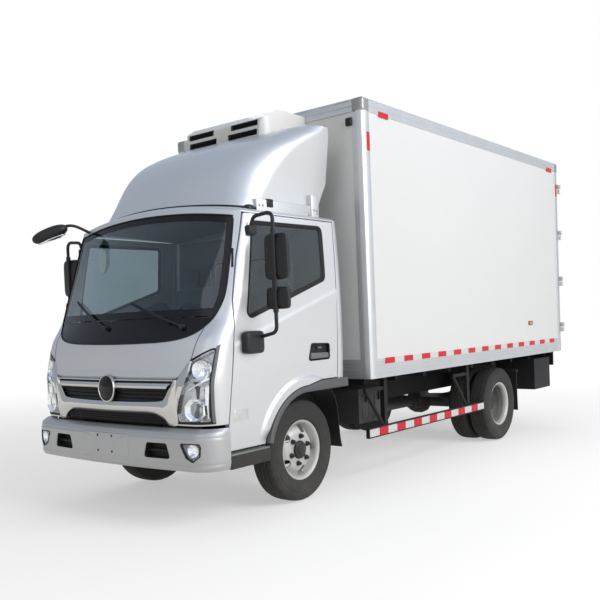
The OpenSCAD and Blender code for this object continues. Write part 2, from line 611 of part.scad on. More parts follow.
// side guards: a rail on two posts with stays, each side
guard_x = box_w / 2 - 55;
guard_d0 = box_front + 18;
guard_d1 = wheelbase - tyre_r - 40;
GUARD_POSTS = [guard_d0 + 320, guard_d1 - 290];
module side_guards() color("#2a2c2e") both() {
    box([guard_x - 30, guard_d0, 370], [guard_x, guard_d1, 453]);
    for (d = GUARD_POSTS) {
        box([guard_x - 70, d - 25, 380], [guard_x - 30 + eps, d + 25, box_z]);
        translate([guard_x - 60, d - 20, 420]) rotate([0, 0, 0]) across(0, 26)
            polygon([[0, 0], [26, 0], [-250, 330], [-276, 330]]);
    }
    box([guard_x - 60, GUARD_POSTS[0] - 300, 745], [guard_x - 34, GUARD_POSTS[0], 775]);
    box([guard_x - 60, GUARD_POSTS[1] - 300, 745], [guard_x - 34, GUARD_POSTS[1], 775]);
}

// rear underrun beam, tool boxes behind the rear wheels and lamp hangers
module rear_underrun() color("#26282a") {
    box([-box_w / 2 + 140, rail_end - 90, 430], [box_w / 2 - 140, rail_end - 20, 540]);
    both() {
        box([rail_x - 30, rail_end - 90, 540 - eps], [rail_x + 30, rail_end - 20, rail_z]);
        box([rail_out + 120, wheelbase + tyre_r + 540, 450], [guard_x, rail_end - 110, rail_top + sill_h - 0.3]);
        box([guard_x - 330, box_rear - 80, 690], [guard_x - 20, box_rear - 50, box_z]);
    }
}
module tail_lamps() color("#8c1c1c") both()
    box([guard_x - 320, box_rear - 50, 700], [guard_x - 30, box_rear - 8, 800]);

// flaps behind the wheels
module mud_flaps() color("#1c1d1e") both() {
    box([front_half_track - 130, arch_r + 8, 330], [front_half_track + 100, arch_r + 20, 640]);
    box([rail_out, arch_r + 8, 610], [front_half_track - 100, arch_r + 20, 640]);
    box([dual_x - 260, wheelbase + tyre_r + 60, 260], [dual_x + 210, wheelbase + tyre_r + 74, rail_top - 20]);
    box([rail_out, wheelbase + tyre_r + 60, rail_top - 60], [dual_x - 250, wheelbase + tyre_r + 90, rail_top - 20]);
}

// bumper with the plate's panel and the brackets to the rails
plate_x = 77.5;
plate_z = 55;
plate_mid = 545;
fog_x = 800;
fog_z = 560;
bumper_t = 28;
BUMPER_Z = [for (r = BUMPER) r[0]];
module front_bumper() color("#c3c1ba") difference() {
    union() {
        front_skin(BUMPER, BUMPER_Z, 0, bumper_t, [for (z = BUMPER_Z) 272 - front_overhang],
            [for (z = BUMPER_Z) 0], nf = 8, ns = 5);
        box([-245, -front_overhang, plate_mid - 82], [245, 36 - front_overhang, plate_mid + 76]);
        both() box([rail_x - 30, 22 - front_overhang, rail_z + 6], [rail_x + 30, rail_front, rail_z + 66]);
    }
    for (x = [-plate_x, plate_x], z = [plate_mid - plate_z, plate_mid + plate_z])
        bar_y(-front_overhang - 5, 60 - front_overhang, x, z, 5);
    both() bar_y(-front_overhang - 5, 200 - front_overhang, fog_x, fog_z, 46);
    both() through(-front_overhang - 5, 60 - front_overhang)
        polygon(rounded([[440, 486], [592, 486], [574, 566], [458, 566]], 16));
}
module fog_lamps() color("#d8dde0") both() bar_y(58 - front_overhang, 150 - front_overhang, fog_x, fog_z, 46);

// entry steps on brackets under the rails
step_x0 = half_w - 190;
step_d0 = 290 - front_overhang;
step_d1 = -arch_r + 36;
module steps() color("#1c1d1e") both() {
    difference() {
        box([step_x0, step_d0, 384], [half_w + 4, step_d1, 490]);
        box([step_x0 + 25, step_d0 + 30, 430], [half_w + 40, step_d1 - 30, 474]);
    }
    box([step_x0 + 5, -720, 480], [step_x0 + 45, -670, rail_z]);
    box([rail_x - 30, -720, 510], [step_x0 + 45, -670, rail_z]);
}

// grey trims over the wheel arches, hung from the cab floor
function arc(r, a0, a1, n) = [for (i = [0:n]) let(a = a0 + (a1 - a0) * i / n) [r * cos(a), axle_z + r * sin(a)]];
ARCH = concat(arc(arch_r - 8, 165, 86, 20), [[cab_rear - 4, axle_z + arch_r - 8], [cab_rear - 4, axle_z + arch_r - 34]],
    arc(arch_r - 34, 86, 165, 20));
module arch_trims() color("#8f9295") both() {
    across(half_w - 80, half_w + 8) polygon(ARCH);
    box([side_limit - 60, -70, axle_z + arch_r - 20], [half_w - 75, 70, floor_z]);
}

// cargo box: insulated floor, walls, front and roof, and the steel frame of the rear opening
floor_top = box_z + box_floor_t;
roof_low = box_top - box_wall;
header = 60;
plate_t = 4;
module box_floor() color("#b9bdc0") {
    box([-box_w / 2, box_front, box_z], [box_w / 2, box_rear, floor_top]);
    box([-box_w / 2 + box_wall + 1, box_front + box_wall + 1, floor_top - eps],
        [box_w / 2 - box_wall - 1, box_rear - box_wall - 6, floor_top + plate_t]);
}
module box_side() box([box_w / 2 - box_wall, box_front + box_wall, floor_top], [box_w / 2, box_rear - box_wall, roof_low]);
module box_left_wall() color("#eef0f0") box_side();
module box_right_wall() color("#eef0f0") mirror([1, 0, 0]) box_side();
module box_front_wall() color("#dfe5e8")
    box([-box_w / 2, box_front, floor_top], [box_w / 2, box_front + box_wall, roof_low]);
module box_roof() color("#eef0f0") box([-box_w / 2, box_front, roof_low], [box_w / 2, box_rear, box_top]);
pin_x = box_w / 2 + hinge_out;
pin_y = box_rear + hinge_back;
HINGES = [0.08, 0.36, 0.64, 0.92];
function hinge_z(k) = floor_top + k * (roof_low - header - floor_top);
module box_rear_frame() color("#a9adb0") {
    both() box([box_w / 2 - box_wall, box_rear - box_wall, floor_top], [box_w / 2, box_rear, roof_low]);
    box([-box_w / 2 + box_wall - eps, box_rear - box_wall, roof_low - header], [box_w / 2 - box_wall + eps, box_rear, roof_low]);
    both() for (k = HINGES) let(z = hinge_z(k)) {
        bar_z(z - 56, z - 4, pin_x, pin_y, rod_r);
        box([box_w / 2 - 30, box_rear - eps, z - 56], [pin_x, box_rear + 16, z - 4]);
    }
}

// rear door: insulated panel, hinge leaves and a locking rod with its handle
leaf_in = 170;
rod_x = 170;
rod_y = box_rear + 16;
module rear_door() {
    x0 = rear_gap;
    x1 = box_w / 2 - box_wall - rear_gap;
    box([x0, box_rear - box_wall, floor_top + rear_gap], [x1, box_rear, roof_low - header - rear_gap]);
    for (k = HINGES) let(z = hinge_z(k)) {
        bar_z(z + 4, z + 56, pin_x, pin_y, rod_r);
        box([x1 - leaf_in, box_rear + 7, z + 4], [pin_x, box_rear + 17, z + 56]);
        box([x1 - leaf_in, box_rear - eps, z + 4], [x1 - 4, box_rear + 8, z + 56]);
    }
    bar_z(floor_top + rear_gap + 20, roof_low - header - rear_gap - 20, rod_x, rod_y, rod_r);
    for (k = [0.03, 0.33, 0.66, 0.97]) let(z = hinge_z(k))
        box([rod_x - 30, box_rear - eps, z - 25], [rod_x + 30, rod_y + 4, z + 25]);
    box([rod_x - 10, rod_y - 6, floor_top + 560], [rod_x + 260, rod_y + 10, floor_top + 600]);
}
module rear_door_left() color("#eef0f0") rear_door();
module rear_door_right() color("#eef0f0") mirror([1, 0, 0]) rear_door();

// cooling unit on the box's front wall
unit_top = box_top - 48;
module cooling_unit() color("#e8ebec") intersection() {
    difference() {
        across(-unit_x, unit_x) polygon(rounded([[unit_front, unit_z0 + 90], [unit_front + 60, unit_z0],
            [box_front + 200, unit_z0], [box_front + 200, unit_top], [unit_front + 170, unit_top],
            [unit_front + 22, unit_top - 80]], 34));
        for (x = [-1, 1], z = [unit_top - 205, unit_top - 130])
            box([x * 225 - 160, unit_front - 20, z], [x * 225 + 160, unit_front + 70, z + 48]);
    }
    translate([0, 0, unit_z0 - 10]) linear_extrude(600) polygon(rounded([[-440, unit_front - 1], [440, unit_front - 1],
        [unit_x, unit_front + 260], [unit_x, box_front + 200], [-unit_x, box_front + 200],
        [-unit_x, unit_front + 260]], 40));
    box([-unit_x, 0, unit_z0 - 20], [unit_x, box_front, box_top]);
}

translate([0, front_axle_y, 0]) {
    frame();
    front_axle();
    rear_axle();
    powertrain();
    fuel_tank();
    battery_box();
    side_guards();
    rear_underrun();
    tail_lamps();
    mud_flaps();
    front_bumper();
    fog_lamps();
    steps();
    box_floor();
    box_left_wall();
    box_right_wall();
    box_front_wall();
    box_roof();
    box_rear_frame();
    cooling_unit();
    cab_floor();
    cab_front();
    cab_rear_wall();
    cab_roof();
    windscreen();
    cowl_panel();
    grille();
    headlamps();
    deflector();
    front_mirror();
    arch_trims();
    dashboard();
    seats();
    steering_wheel();
    door_left();
    door_right();
    door_glass_left();
    door_glass_right();
    mirror_left();
    mirror_right();
    knuckle_left();
    knuckle_right();
    tie_rod();
    front_tyre_left();
    front_tyre_right();
    front_rim_left();
    front_rim_right();
    rear_tyre_left_outer();
    rear_tyre_left_inner();
    rear_tyre_right_outer();
    rear_tyre_right_inner();
    rear_rim_left();
    rear_rim_right();
    rear_door_left();
    rear_door_right();
}
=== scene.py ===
# Light refrigerated truck, dressed: a silver tilting cab under a roof deflector, a white insulated
# box with aluminium edges, a cooling unit over the cab, and twin wheels at the back.
import math

import bmesh
import bpy
import numpy as np
from mathutils import Matrix, Vector


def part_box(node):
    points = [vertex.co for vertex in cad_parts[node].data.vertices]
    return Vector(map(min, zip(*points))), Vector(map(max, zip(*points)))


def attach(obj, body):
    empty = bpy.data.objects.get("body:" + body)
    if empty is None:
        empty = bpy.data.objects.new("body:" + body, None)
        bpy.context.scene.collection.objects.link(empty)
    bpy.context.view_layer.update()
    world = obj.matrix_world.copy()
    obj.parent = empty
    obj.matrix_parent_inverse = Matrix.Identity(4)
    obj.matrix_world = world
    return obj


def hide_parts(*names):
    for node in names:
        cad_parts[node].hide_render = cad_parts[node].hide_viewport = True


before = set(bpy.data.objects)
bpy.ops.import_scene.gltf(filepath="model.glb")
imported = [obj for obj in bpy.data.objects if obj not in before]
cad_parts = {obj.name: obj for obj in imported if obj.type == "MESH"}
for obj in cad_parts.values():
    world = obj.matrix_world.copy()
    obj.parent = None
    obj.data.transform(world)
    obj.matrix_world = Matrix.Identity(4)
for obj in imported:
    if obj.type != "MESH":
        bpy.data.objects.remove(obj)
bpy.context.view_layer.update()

# Studio: a wide pale floor under a white sky, a broad lamp high on the truck's left side, and weaker ones
# before its nose and behind it. The camera stands low at the left front corner, as in the photograph.
AXLE_Y = -1.9165  # the front axle in the part's frame, metres
scene = bpy.context.scene
scene.view_settings.view_transform = "Standard"


def feed(tree, socket, value):
    """Links an input socket to an output, or sets it to a value."""
    if isinstance(value, bpy.types.NodeSocket):
        tree.links.new(value, socket)
    else:
        socket.default_value = value


def add(tree, kind, **values):
    """Adds a shader node of that kind, or one that holds the given group. Values go to the input socket of
    that name, or else to the node's properties."""
    plain = isinstance(kind, str)
    node = tree.nodes.new("ShaderNode" + (kind if plain else "Group"))
    if not plain:
        node.node_tree = kind
    for name, value in values.items():
        socket = node.inputs.get(name.replace("_", " ").title().replace("Ior", "IOR"))
        if socket is None:
            setattr(node, name, value)
        else:
            feed(tree, socket, value)
    return node


def math_node(tree, operation, *values):
    """One Math node on numbers or sockets; returns its output."""
    node = add(tree, "Math", operation=operation)
    for slot, value in zip(node.inputs, values):
        feed(tree, slot, value)
    return node.outputs[0]


def new_material(name):
    """Returns a new material and its node tree, emptied."""
    material = bpy.data.materials.new(name)
    material.use_nodes = True
    material.node_tree.nodes.clear()
    return material, material.node_tree


def surface(tree, shader):
    """Puts a shader out as the surface of its material."""
    add(tree, "OutputMaterial", surface=shader.outputs[0])


def seen_directly(tree):
    """1 for rays that show the background: straight from the camera, mirrored or through glass."""
    path = add(tree, "LightPath").outputs
    return math_node(tree, "MAXIMUM", path["Is Camera Ray"],
                     math_node(tree, "MAXIMUM", path["Is Glossy Ray"], path["Is Transmission Ray"]))


# share of the sky's light that falls on the truck, how much brighter its left side is in reflections
SKY_LIGHT, SKY_SIDE = 0.36, 1.2
# tones of the reflected sky from straight below to straight above
SKY_TONES = [(0.0, (0.44, 0.44, 0.44)), (0.47, (0.48, 0.49, 0.50)), (0.54, (0.53, 0.55, 0.57)),
             (0.68, (0.48, 0.55, 0.66)), (0.88, (0.44, 0.53, 0.68))]
world = scene.world = bpy.data.worlds.new("studio_sky")
world.use_nodes = True
sky = world.node_tree
sky.nodes.clear()
sky_way = add(sky, "SeparateXYZ", vector=add(sky, "TexCoord").outputs["Generated"]).outputs
sky_blend = add(sky, "ValToRGB", fac=math_node(sky, "MULTIPLY_ADD", sky_way["Z"], 0.5, 0.5))
while len(sky_blend.color_ramp.elements) < len(SKY_TONES):
    sky_blend.color_ramp.elements.new(0.5)
for element, (place, tone) in zip(sky_blend.color_ramp.elements, SKY_TONES):
    element.position, element.color = place, (*tone, 1)
sky_side = math_node(sky, "MULTIPLY_ADD", math_node(sky, "MAXIMUM", sky_way["X"], 0.0), SKY_SIDE, 1.0)
sky_gloss = add(sky, "VectorMath", operation="SCALE", scale=sky_side)
feed(sky, sky_gloss.inputs[0], sky_blend.outputs["Color"])


def blend_colors(tree, mode, factor, low, high):
    """Mix node on colours; factor and colours may be sockets or values. Returns its output."""
    node = add(tree, "Mix", data_type="RGBA", blend_type=mode)
    for slot, value in ((0, factor), (6, low), (7, high)):
        feed(tree, node.inputs[slot], value)
    return node.outputs[2]


sky_tone = blend_colors(sky, "MIX", add(sky, "LightPath").outputs["Is Glossy Ray"], (1, 1, 1, 1),
                        sky_gloss.outputs[0])
sky_level = math_node(sky, "MULTIPLY_ADD", seen_directly(sky), 1 - SKY_LIGHT, SKY_LIGHT)
sky_shader = add(sky, "Background", color=sky_tone, strength=sky_level)
add(sky, "OutputWorld", surface=sky_shader.outputs[0])

# name, place, target, side length, watts
LAMPS = [
    ("lamp_left", (9.5, -0.5, 6.0), (0, 0.0, 1.3), 7.0, 720),
    ("lamp_nose", (0.5, -11.0, 6.0), (0, -2.5, 1.2), 6.0, 95),
    ("lamp_back", (-6.0, 9.5, 7.0), (0, 1.0, 1.4), 7.0, 260),
]
for name, place, target, side, watts in LAMPS:
    lamp = bpy.data.lights.new(name, "AREA")
    lamp.energy, lamp.size = watts, side
    lamp_object = bpy.data.objects.new(name, lamp)
    lamp_object.location = place
    lamp_object.rotation_euler = (Vector(target) - Vector(place)).to_track_quat("-Z", "Y").to_euler()
    lamp_object.visible_camera = False
    scene.collection.objects.link(lamp_object)

FLOOR_HALF = 60.0
floor_finish, tree = new_material("studio_floor")
floor_reach = add(tree, "VectorMath", operation="LENGTH")
feed(tree, floor_reach.inputs[0], add(tree, "TexCoord").outputs["Object"])
floor_fade = add(tree, "MapRange", from_min=3.0, from_max=14.0, to_min=0.46, to_max=0.80,
                 value=floor_reach.outputs["Value"])
floor_glow = add(tree, "Emission", color=(1, 1, 1, 1),
                 strength=math_node(tree, "MULTIPLY", seen_directly(tree), floor_fade.outputs[0]))
floor_sum = add(tree, "AddShader")
feed(tree, floor_sum.inputs[0], add(tree, "BsdfDiffuse", color=(0.60, 0.60, 0.60, 1)).outputs[0])
feed(tree, floor_sum.inputs[1], floor_glow.outputs[0])
surface(tree, floor_sum)
floor_mesh = bpy.data.meshes.new("studio_floor")
floor_mesh.from_pydata([(x * FLOOR_HALF, y * FLOOR_HALF, 0) for x, y in ((-1, -1), (1, -1), (1, 1), (-1, 1))],
                       [], [(0, 1, 2, 3)])
floor_mesh.materials.append(floor_finish)
studio_floor = bpy.data.objects.new("studio_floor", floor_mesh)
scene.collection.objects.link(studio_floor)

CAMERA_PLACE = (4.5336, -4.6511 + AXLE_Y, 1.3604)
YAW, PITCH, ROLL = (math.radians(a) for a in (39.311, -1.906, -2.304))
FOCAL_PX, CENTRE_X, CENTRE_Y, FRAME_PX, SENSOR = 790.09, 282.77, 347.05, 600, 36.0
forward = np.array([-math.sin(YAW) * math.cos(PITCH), math.cos(YAW) * math.cos(PITCH), math.sin(PITCH)])
level_right = np.array([math.cos(YAW), math.sin(YAW), 0.0])
level_up = np.cross(level_right, forward)
camera_right = level_right * math.cos(ROLL) + level_up * math.sin(ROLL)
camera_up = -level_right * math.sin(ROLL) + level_up * math.cos(ROLL)
camera_data = bpy.data.cameras.new("camera")
camera_data.sensor_width, camera_data.lens = SENSOR, FOCAL_PX / FRAME_PX * SENSOR
camera_data.shift_x, camera_data.shift_y = 0.5 - CENTRE_X / FRAME_PX, CENTRE_Y / FRAME_PX - 0.5
camera = bpy.data.objects.new("camera", camera_data)
camera.matrix_world = Matrix([(camera_right[i], camera_up[i], -forward[i], CAMERA_PLACE[i]) for i in range(3)]
                             + [(0, 0, 0, 1)])
scene.collection.objects.link(camera)
scene.camera = camera

# Chassis: two pressed steel rails with cross members, sills and bearers, painted satin black.
# Road dust lies on the low parts, so the paint fades to a warm grey towards the ground.


def new_group(name, inputs, outputs):
    """A shader group with the named sockets; returns its tree, the outputs of its input node, and the inputs of
    its output node."""
    tree = bpy.data.node_groups.new(name, "ShaderNodeTree")
    for way, sockets in (("INPUT", inputs), ("OUTPUT", outputs)):
        for label, kind in sockets.items():
            tree.interface.new_socket(label, in_out=way, socket_type="NodeSocket" + kind)
    return tree, tree.nodes.new("NodeGroupInput").outputs, tree.nodes.new("NodeGroupOutput").inputs


# uneven colour: slow noise lightens and darkens the colour by the amount
mottle, given, result = new_group("uneven_colour", {"Color": "Color", "Scale": "Float", "Amount": "Float"},
                                  {"Color": "Color", "Value": "Float"})
spots = add(mottle, "TexNoise", vector=add(mottle, "TexCoord").outputs["Object"], scale=given["Scale"],
            detail=5.0, roughness=0.6).outputs["Fac"]
swing = math_node(mottle, "MULTIPLY_ADD", math_node(mottle, "SUBTRACT", spots, 0.5),
                  math_node(mottle, "MULTIPLY", given["Amount"], 2.0), 1.0)
swing_color = add(mottle, "CombineColor", red=swing, green=swing, blue=swing).outputs[0]
feed(mottle, result["Color"], blend_colors(mottle, "MULTIPLY", 1.0, given["Color"], swing_color))
feed(mottle, result["Value"], spots)

# road dust: a warm grey film, densest at the ground and gone at the reach, broken up by noise
DUST = (0.33, 0.31, 0.28, 1)
dust, given, result = new_group("road_dust", {"Color": "Color", "Amount": "Float", "Reach": "Float"},
                                {"Color": "Color", "Mask": "Float"})
dust_place = add(dust, "TexCoord").outputs["Object"]
height = add(dust, "SeparateXYZ", vector=dust_place).outputs["Z"]
film = add(dust, "TexNoise", vector=dust_place, scale=7.0, detail=6.0, roughness=0.65).outputs["Fac"]
fade = math_node(dust, "SUBTRACT", 1.0, math_node(dust, "DIVIDE", height, given["Reach"]))
fade = math_node(dust, "MAXIMUM", fade, 0.0)
cover = math_node(dust, "MULTIPLY", math_node(dust, "MULTIPLY", fade, film),
                  math_node(dust, "MULTIPLY", given["Amount"], 2.0))
cover = math_node(dust, "MINIMUM", cover, 1.0)
feed(dust, result["Color"], blend_colors(dust, "MIX", cover, given["Color"], DUST))
feed(dust, result["Mask"], cover)

# fine grain: small bumps for castings, moulded plastic and orange peel in paint
grain, given, result = new_group("fine_grain", {"Scale": "Float", "Stretch": "Float"}, {"Height": "Float"})
grain_scale = add(grain, "CombineXYZ", x=1.0, y=given["Stretch"], z=1.0).outputs[0]
grain_place = add(grain, "Mapping", vector=add(grain, "TexCoord").outputs["Object"], scale=grain_scale)
specks = add(grain, "TexNoise", vector=grain_place.outputs[0], scale=given["Scale"], detail=3.0)
feed(grain, result["Height"], specks.outputs["Fac"])


def make_finish(name, color, rough, uneven=0.06, patch=4.0, dusty=0.0, reach=1.2, grain_size=250.0, stretch=1.0,
                bump=0.05, gloss_swing=0.1, **plain):
    """Material: the colour made uneven, then dusted; roughness swings with the same noise and rises
    under the dust; fine grain feeds the normal. Plain values go to the Principled shader's sockets."""
    material, tree = new_material(name)
    tone = add(tree, mottle, color=(*color, 1), scale=patch, amount=uneven)
    film = add(tree, dust, color=tone.outputs["Color"], amount=dusty, reach=reach)
    swing = math_node(tree, "MULTIPLY_ADD", tone.outputs["Value"], gloss_swing, rough - gloss_swing / 2)
    dull = math_node(tree, "MULTIPLY_ADD", film.outputs["Mask"], 0.35, swing)
    specks = add(tree, grain, scale=grain_size, stretch=stretch)
    normal = add(tree, "Bump", strength=bump, distance=0.002, height=specks.outputs["Height"])
    surface(tree, add(tree, "BsdfPrincipled", base_color=film.outputs["Color"], roughness=dull,
                      normal=normal.outputs[0], **plain))
    return material


def dress(material, *nodes):
    """Gives CAD nodes a finish in place of the plain one they came with."""
    for name in nodes:
        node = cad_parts[name]
        if node.material_slots:
            for place in node.material_slots:
                place.material = material
        else:
            node.data.materials.append(material)


chassis_paint = make_finish("chassis_paint", (0.013, 0.0135, 0.015), 0.55, uneven=0.3, patch=9, dusty=0.08,
                            reach=0.9, specular_ior_level=0.15)
dress(chassis_paint, "frame", "rear_underrun", "side_guards")

# Axles, springs and steering: forged and rolled steel, painted black. They hang low between the wheels, so they
# are the most dusty parts.
forged_steel = make_finish("forged_steel", (0.035, 0.034, 0.033), 0.6, uneven=0.35, patch=14, dusty=0.4, reach=0.9,
                           grain_size=160, bump=0.2, specular_ior_level=0.25)
dress(forged_steel, "front_axle", "rear_axle", "knuckle_left", "knuckle_right", "tie_rod")

# Engine and gearbox: plain cast blocks under the cab, dull and dusty. They stand in for the real castings, which
# the cab hides from all sides but below.
cast_iron = make_finish("cast_iron", (0.05, 0.05, 0.052), 0.7, uneven=0.3, patch=8, dusty=0.4, reach=1.0,
                        grain_size=120, bump=0.35, metallic=0.3)
dress(cast_iron, "powertrain")

# Fuel tank and battery box: the tank is rolled aluminium with a brushed skin, the battery box folded sheet,
# painted black. Both hang on the outer side of the frame.
tank_skin = make_finish("tank_skin", (0.36, 0.37, 0.38), 0.42, uneven=0.1, patch=5, dusty=0.4, stretch=0.05,
                        grain_size=400, bump=0.08, metallic=0.85)
dress(tank_skin, "fuel_tank")
box_sheet = make_finish("battery_sheet", (0.035, 0.036, 0.038), 0.5, uneven=0.2, dusty=0.15, specular_ior_level=0.3)
dress(box_sheet, "battery_box")

# Tyres: radial road tyres with ribbed treads, a stepped shoulder and rings moulded in the sidewall.
# Each is one turned surface whose tread is cut by four zigzag grooves and by notches at the shoulders.


def xyz(x, y, z):
    """Points from coordinates, each a number or an array."""
    return np.stack(np.broadcast_arrays(x, y, z), -1)


def shell(points, wrap_u=False, wrap_v=False, cap=False):
    """Faces of a grid of points, rows by columns. Wrapping joins the last row or column to the first;
    cap closes the first and last row with one face each. Returns points and face lists."""
    rows, columns = points.shape[:2]
    i = np.arange(rows if wrap_u else rows - 1)[:, None]
    j = np.arange(columns if wrap_v else columns - 1)[None, :]
    i2, j2 = (i + 1) % rows, (j + 1) % columns
    corners = (i * columns + j, i * columns + j2, i2 * columns + j2, i2 * columns + j)
    faces = np.stack(corners, -1).reshape(-1, 4).tolist()
    if cap:
        first = np.arange(columns)
        faces += [first[::-1].tolist(), (first + (rows - 1) * columns).tolist()]
    return points.reshape(-1, 3), faces


def closed_mesh(name, shells):
    """Mesh of closed shells with doubles merged and faces turned outwards."""
    points = np.vstack([s[0] for s in shells])
    starts = np.cumsum([0] + [len(s[0]) for s in shells])
    faces = [[v + start for v in face] for (_, listed), start in zip(shells, starts) for face in listed]
    mesh = bpy.data.meshes.new(name)
    mesh.from_pydata(points.tolist(), [], faces)
    work = bmesh.new()
    work.from_mesh(mesh)
    bmesh.ops.remove_doubles(work, verts=work.verts, dist=2e-5)
    bmesh.ops.dissolve_degenerate(work, edges=work.edges, dist=1e-6)
    bmesh.ops.recalc_face_normals(work, faces=work.faces)
    work.to_mesh(mesh)
    work.free()
    return mesh


def piece(name, body, slot, material, *shells, crease=35.0, stands_for=()):
    """One object from closed shells: doubles merged, faces turned outwards, smooth up to the crease angle.
    It rides on a body and may stand for CAD nodes. The slot is not used."""
    mesh = closed_mesh(name, shells)
    mesh.polygons.foreach_set("use_smooth", np.ones(len(mesh.polygons), bool))
    mesh.set_sharp_from_angle(angle=math.radians(crease))
    mesh.materials.append(material)
    made = bpy.data.objects.new(name, mesh)
    scene.collection.objects.link(made)
    if stands_for:
        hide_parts(*stands_for)
    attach(made, body)
    return made


def turned(profile, centre, turns=96, closed=False, wave=None):
    """Surface of revolution about X: profile columns are radius and distance along the axis. wave, if given,
    is added to the radius for each turn and profile row. A closed profile runs back to its start."""
    profile = np.asarray(profile, float)
    angle = np.linspace(0, 2 * np.pi, turns, endpoint=False)[:, None]
    radius = profile[None, :, 0] + (0 * angle if wave is None else wave(angle, profile))
    return shell(xyz(centre[0] + profile[None, :, 1], centre[1] + radius * np.sin(angle),
                     centre[2] + radius * np.cos(angle)), wrap_u=True, wrap_v=closed)


def smooth_line(knots, count, closed=False):
    """Points on a Catmull-Rom curve through the knots, evenly spaced in its parameter."""
    knots = np.asarray(knots, float)
    n = len(knots)
    t = np.linspace(0, n if closed else n - 1, count, endpoint=not closed)
    k = np.minimum(t.astype(int), n - 1 if closed else n - 2)
    s = (t - k)[:, None]
    a, b, c, d = (knots[(k + i) % n if closed else np.clip(k + i, 0, n - 1)] for i in (-1, 0, 1, 2))
    return 0.5 * (2 * b + (c - a) * s + (2 * a - 5 * b + 4 * c - d) * s**2 + (3 * b - a - 3 * c + d) * s**3)


TYRE_RADIUS, TREAD_HALF, BEAD_RADIUS, BEAD_HALF = 0.385, 0.075, 0.206, 0.066
# sidewall from the bead to the shoulder: radius, distance from the tyre's middle
SIDEWALL = [(0.214, 0.070), (0.226, 0.083), (0.240, 0.0895), (0.243, 0.0925), (0.248, 0.0925), (0.252, 0.0925),
            (0.275, 0.0975), (0.300, 0.0997), (0.318, 0.0997), (0.322, 0.0978), (0.326, 0.0995), (0.343, 0.0975),
            (0.346, 0.0955), (0.349, 0.0965), (0.362, 0.0905), (0.372, 0.0835), (0.3775, 0.0775)]
GROOVES = (-0.048, -0.016, 0.016, 0.048)
side = smooth_line(SIDEWALL, 44)
crown_x = np.linspace(TREAD_HALF, -TREAD_HALF, 49)
crown_r = TYRE_RADIUS - 0.0062 * (crown_x / TREAD_HALF) ** 4 - 0.0008
tread_profile = np.vstack([side, np.stack([crown_r, crown_x], 1), side[::-1] * (1, -1),
                           [[BEAD_RADIUS, -BEAD_HALF], [BEAD_RADIUS, BEAD_HALF]]])


def tread(angle, profile):
    """Depth of the tread below the crown: four grooves that weave along the tread, and notches cut in
    from each shoulder, all fading where the profile leaves the tread."""
    x = profile[None, :, 1]
    on_tread = (profile[None, :, 0] > 0.376) * 1.0
    weave = 0.0035 * np.abs(((angle * 30 / np.pi) % 2) - 1) - 0.0018
    cut = sum(np.clip(1.4 - np.abs(x - g - weave) / 0.0032, 0, 1) for g in GROOVES)
    notch = np.clip(np.abs(x) / TREAD_HALF - 0.80, 0, 0.1) * 10 * (np.abs(((angle * 36 / np.pi) % 2) - 1) < 0.28)
    return -0.009 * np.clip(cut + 0.7 * notch, 0, 1) * on_tread


tyre_rubber = make_finish("tyre_rubber", (0.020, 0.020, 0.0195), 0.66, uneven=0.25, patch=16, dusty=0.13, reach=0.95,
                          grain_size=500, bump=0.08, specular_ior_level=0.3)
TYRES = {"front_tyre_left": "wheel_front_left", "front_tyre_right": "wheel_front_right",
         "rear_tyre_left_outer": "wheel_rear_left", "rear_tyre_left_inner": "wheel_rear_left",
         "rear_tyre_right_outer": "wheel_rear_right", "rear_tyre_right_inner": "wheel_rear_right"}
for node, body in TYRES.items():
    low, high = np.array(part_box(node))
    ring = turned(tread_profile, (low + high) / 2, 216, True, tread)
    piece(node + "_tread", body, "tyre", tyre_rubber, ring, stands_for=[node])

# Wheels: pressed steel discs welded in rolled rims. The front discs are domed, painted silver and have
# five round hand holes; the rear ones sit back to back, deep inside the bright silver lip of the outer rim. Their
# discs are coloured dark grey as painted shade for the deep dish, with road dust over it.


def carve(target, cutters, mode="DIFFERENCE"):
    """Target shells with the cutter shells taken away, or kept only inside them; returns one shell."""
    body = bpy.data.objects.new("carve_body", closed_mesh("carve_body", target))
    tool = bpy.data.objects.new("carve_tool", closed_mesh("carve_tool", cutters))
    for made in (body, tool):
        scene.collection.objects.link(made)
    step = body.modifiers.new("carve", "BOOLEAN")
    step.object, step.operation, step.solver = tool, mode, "EXACT"
    mesh = bpy.data.meshes.new_from_object(body.evaluated_get(bpy.context.evaluated_depsgraph_get()))
    points = np.empty(len(mesh.vertices) * 3)
    mesh.vertices.foreach_get("co", points)
    faces = [list(face.vertices) for face in mesh.polygons]
    for made in (body, tool):
        bpy.data.objects.remove(made)
    return points.reshape(-1, 3), faces


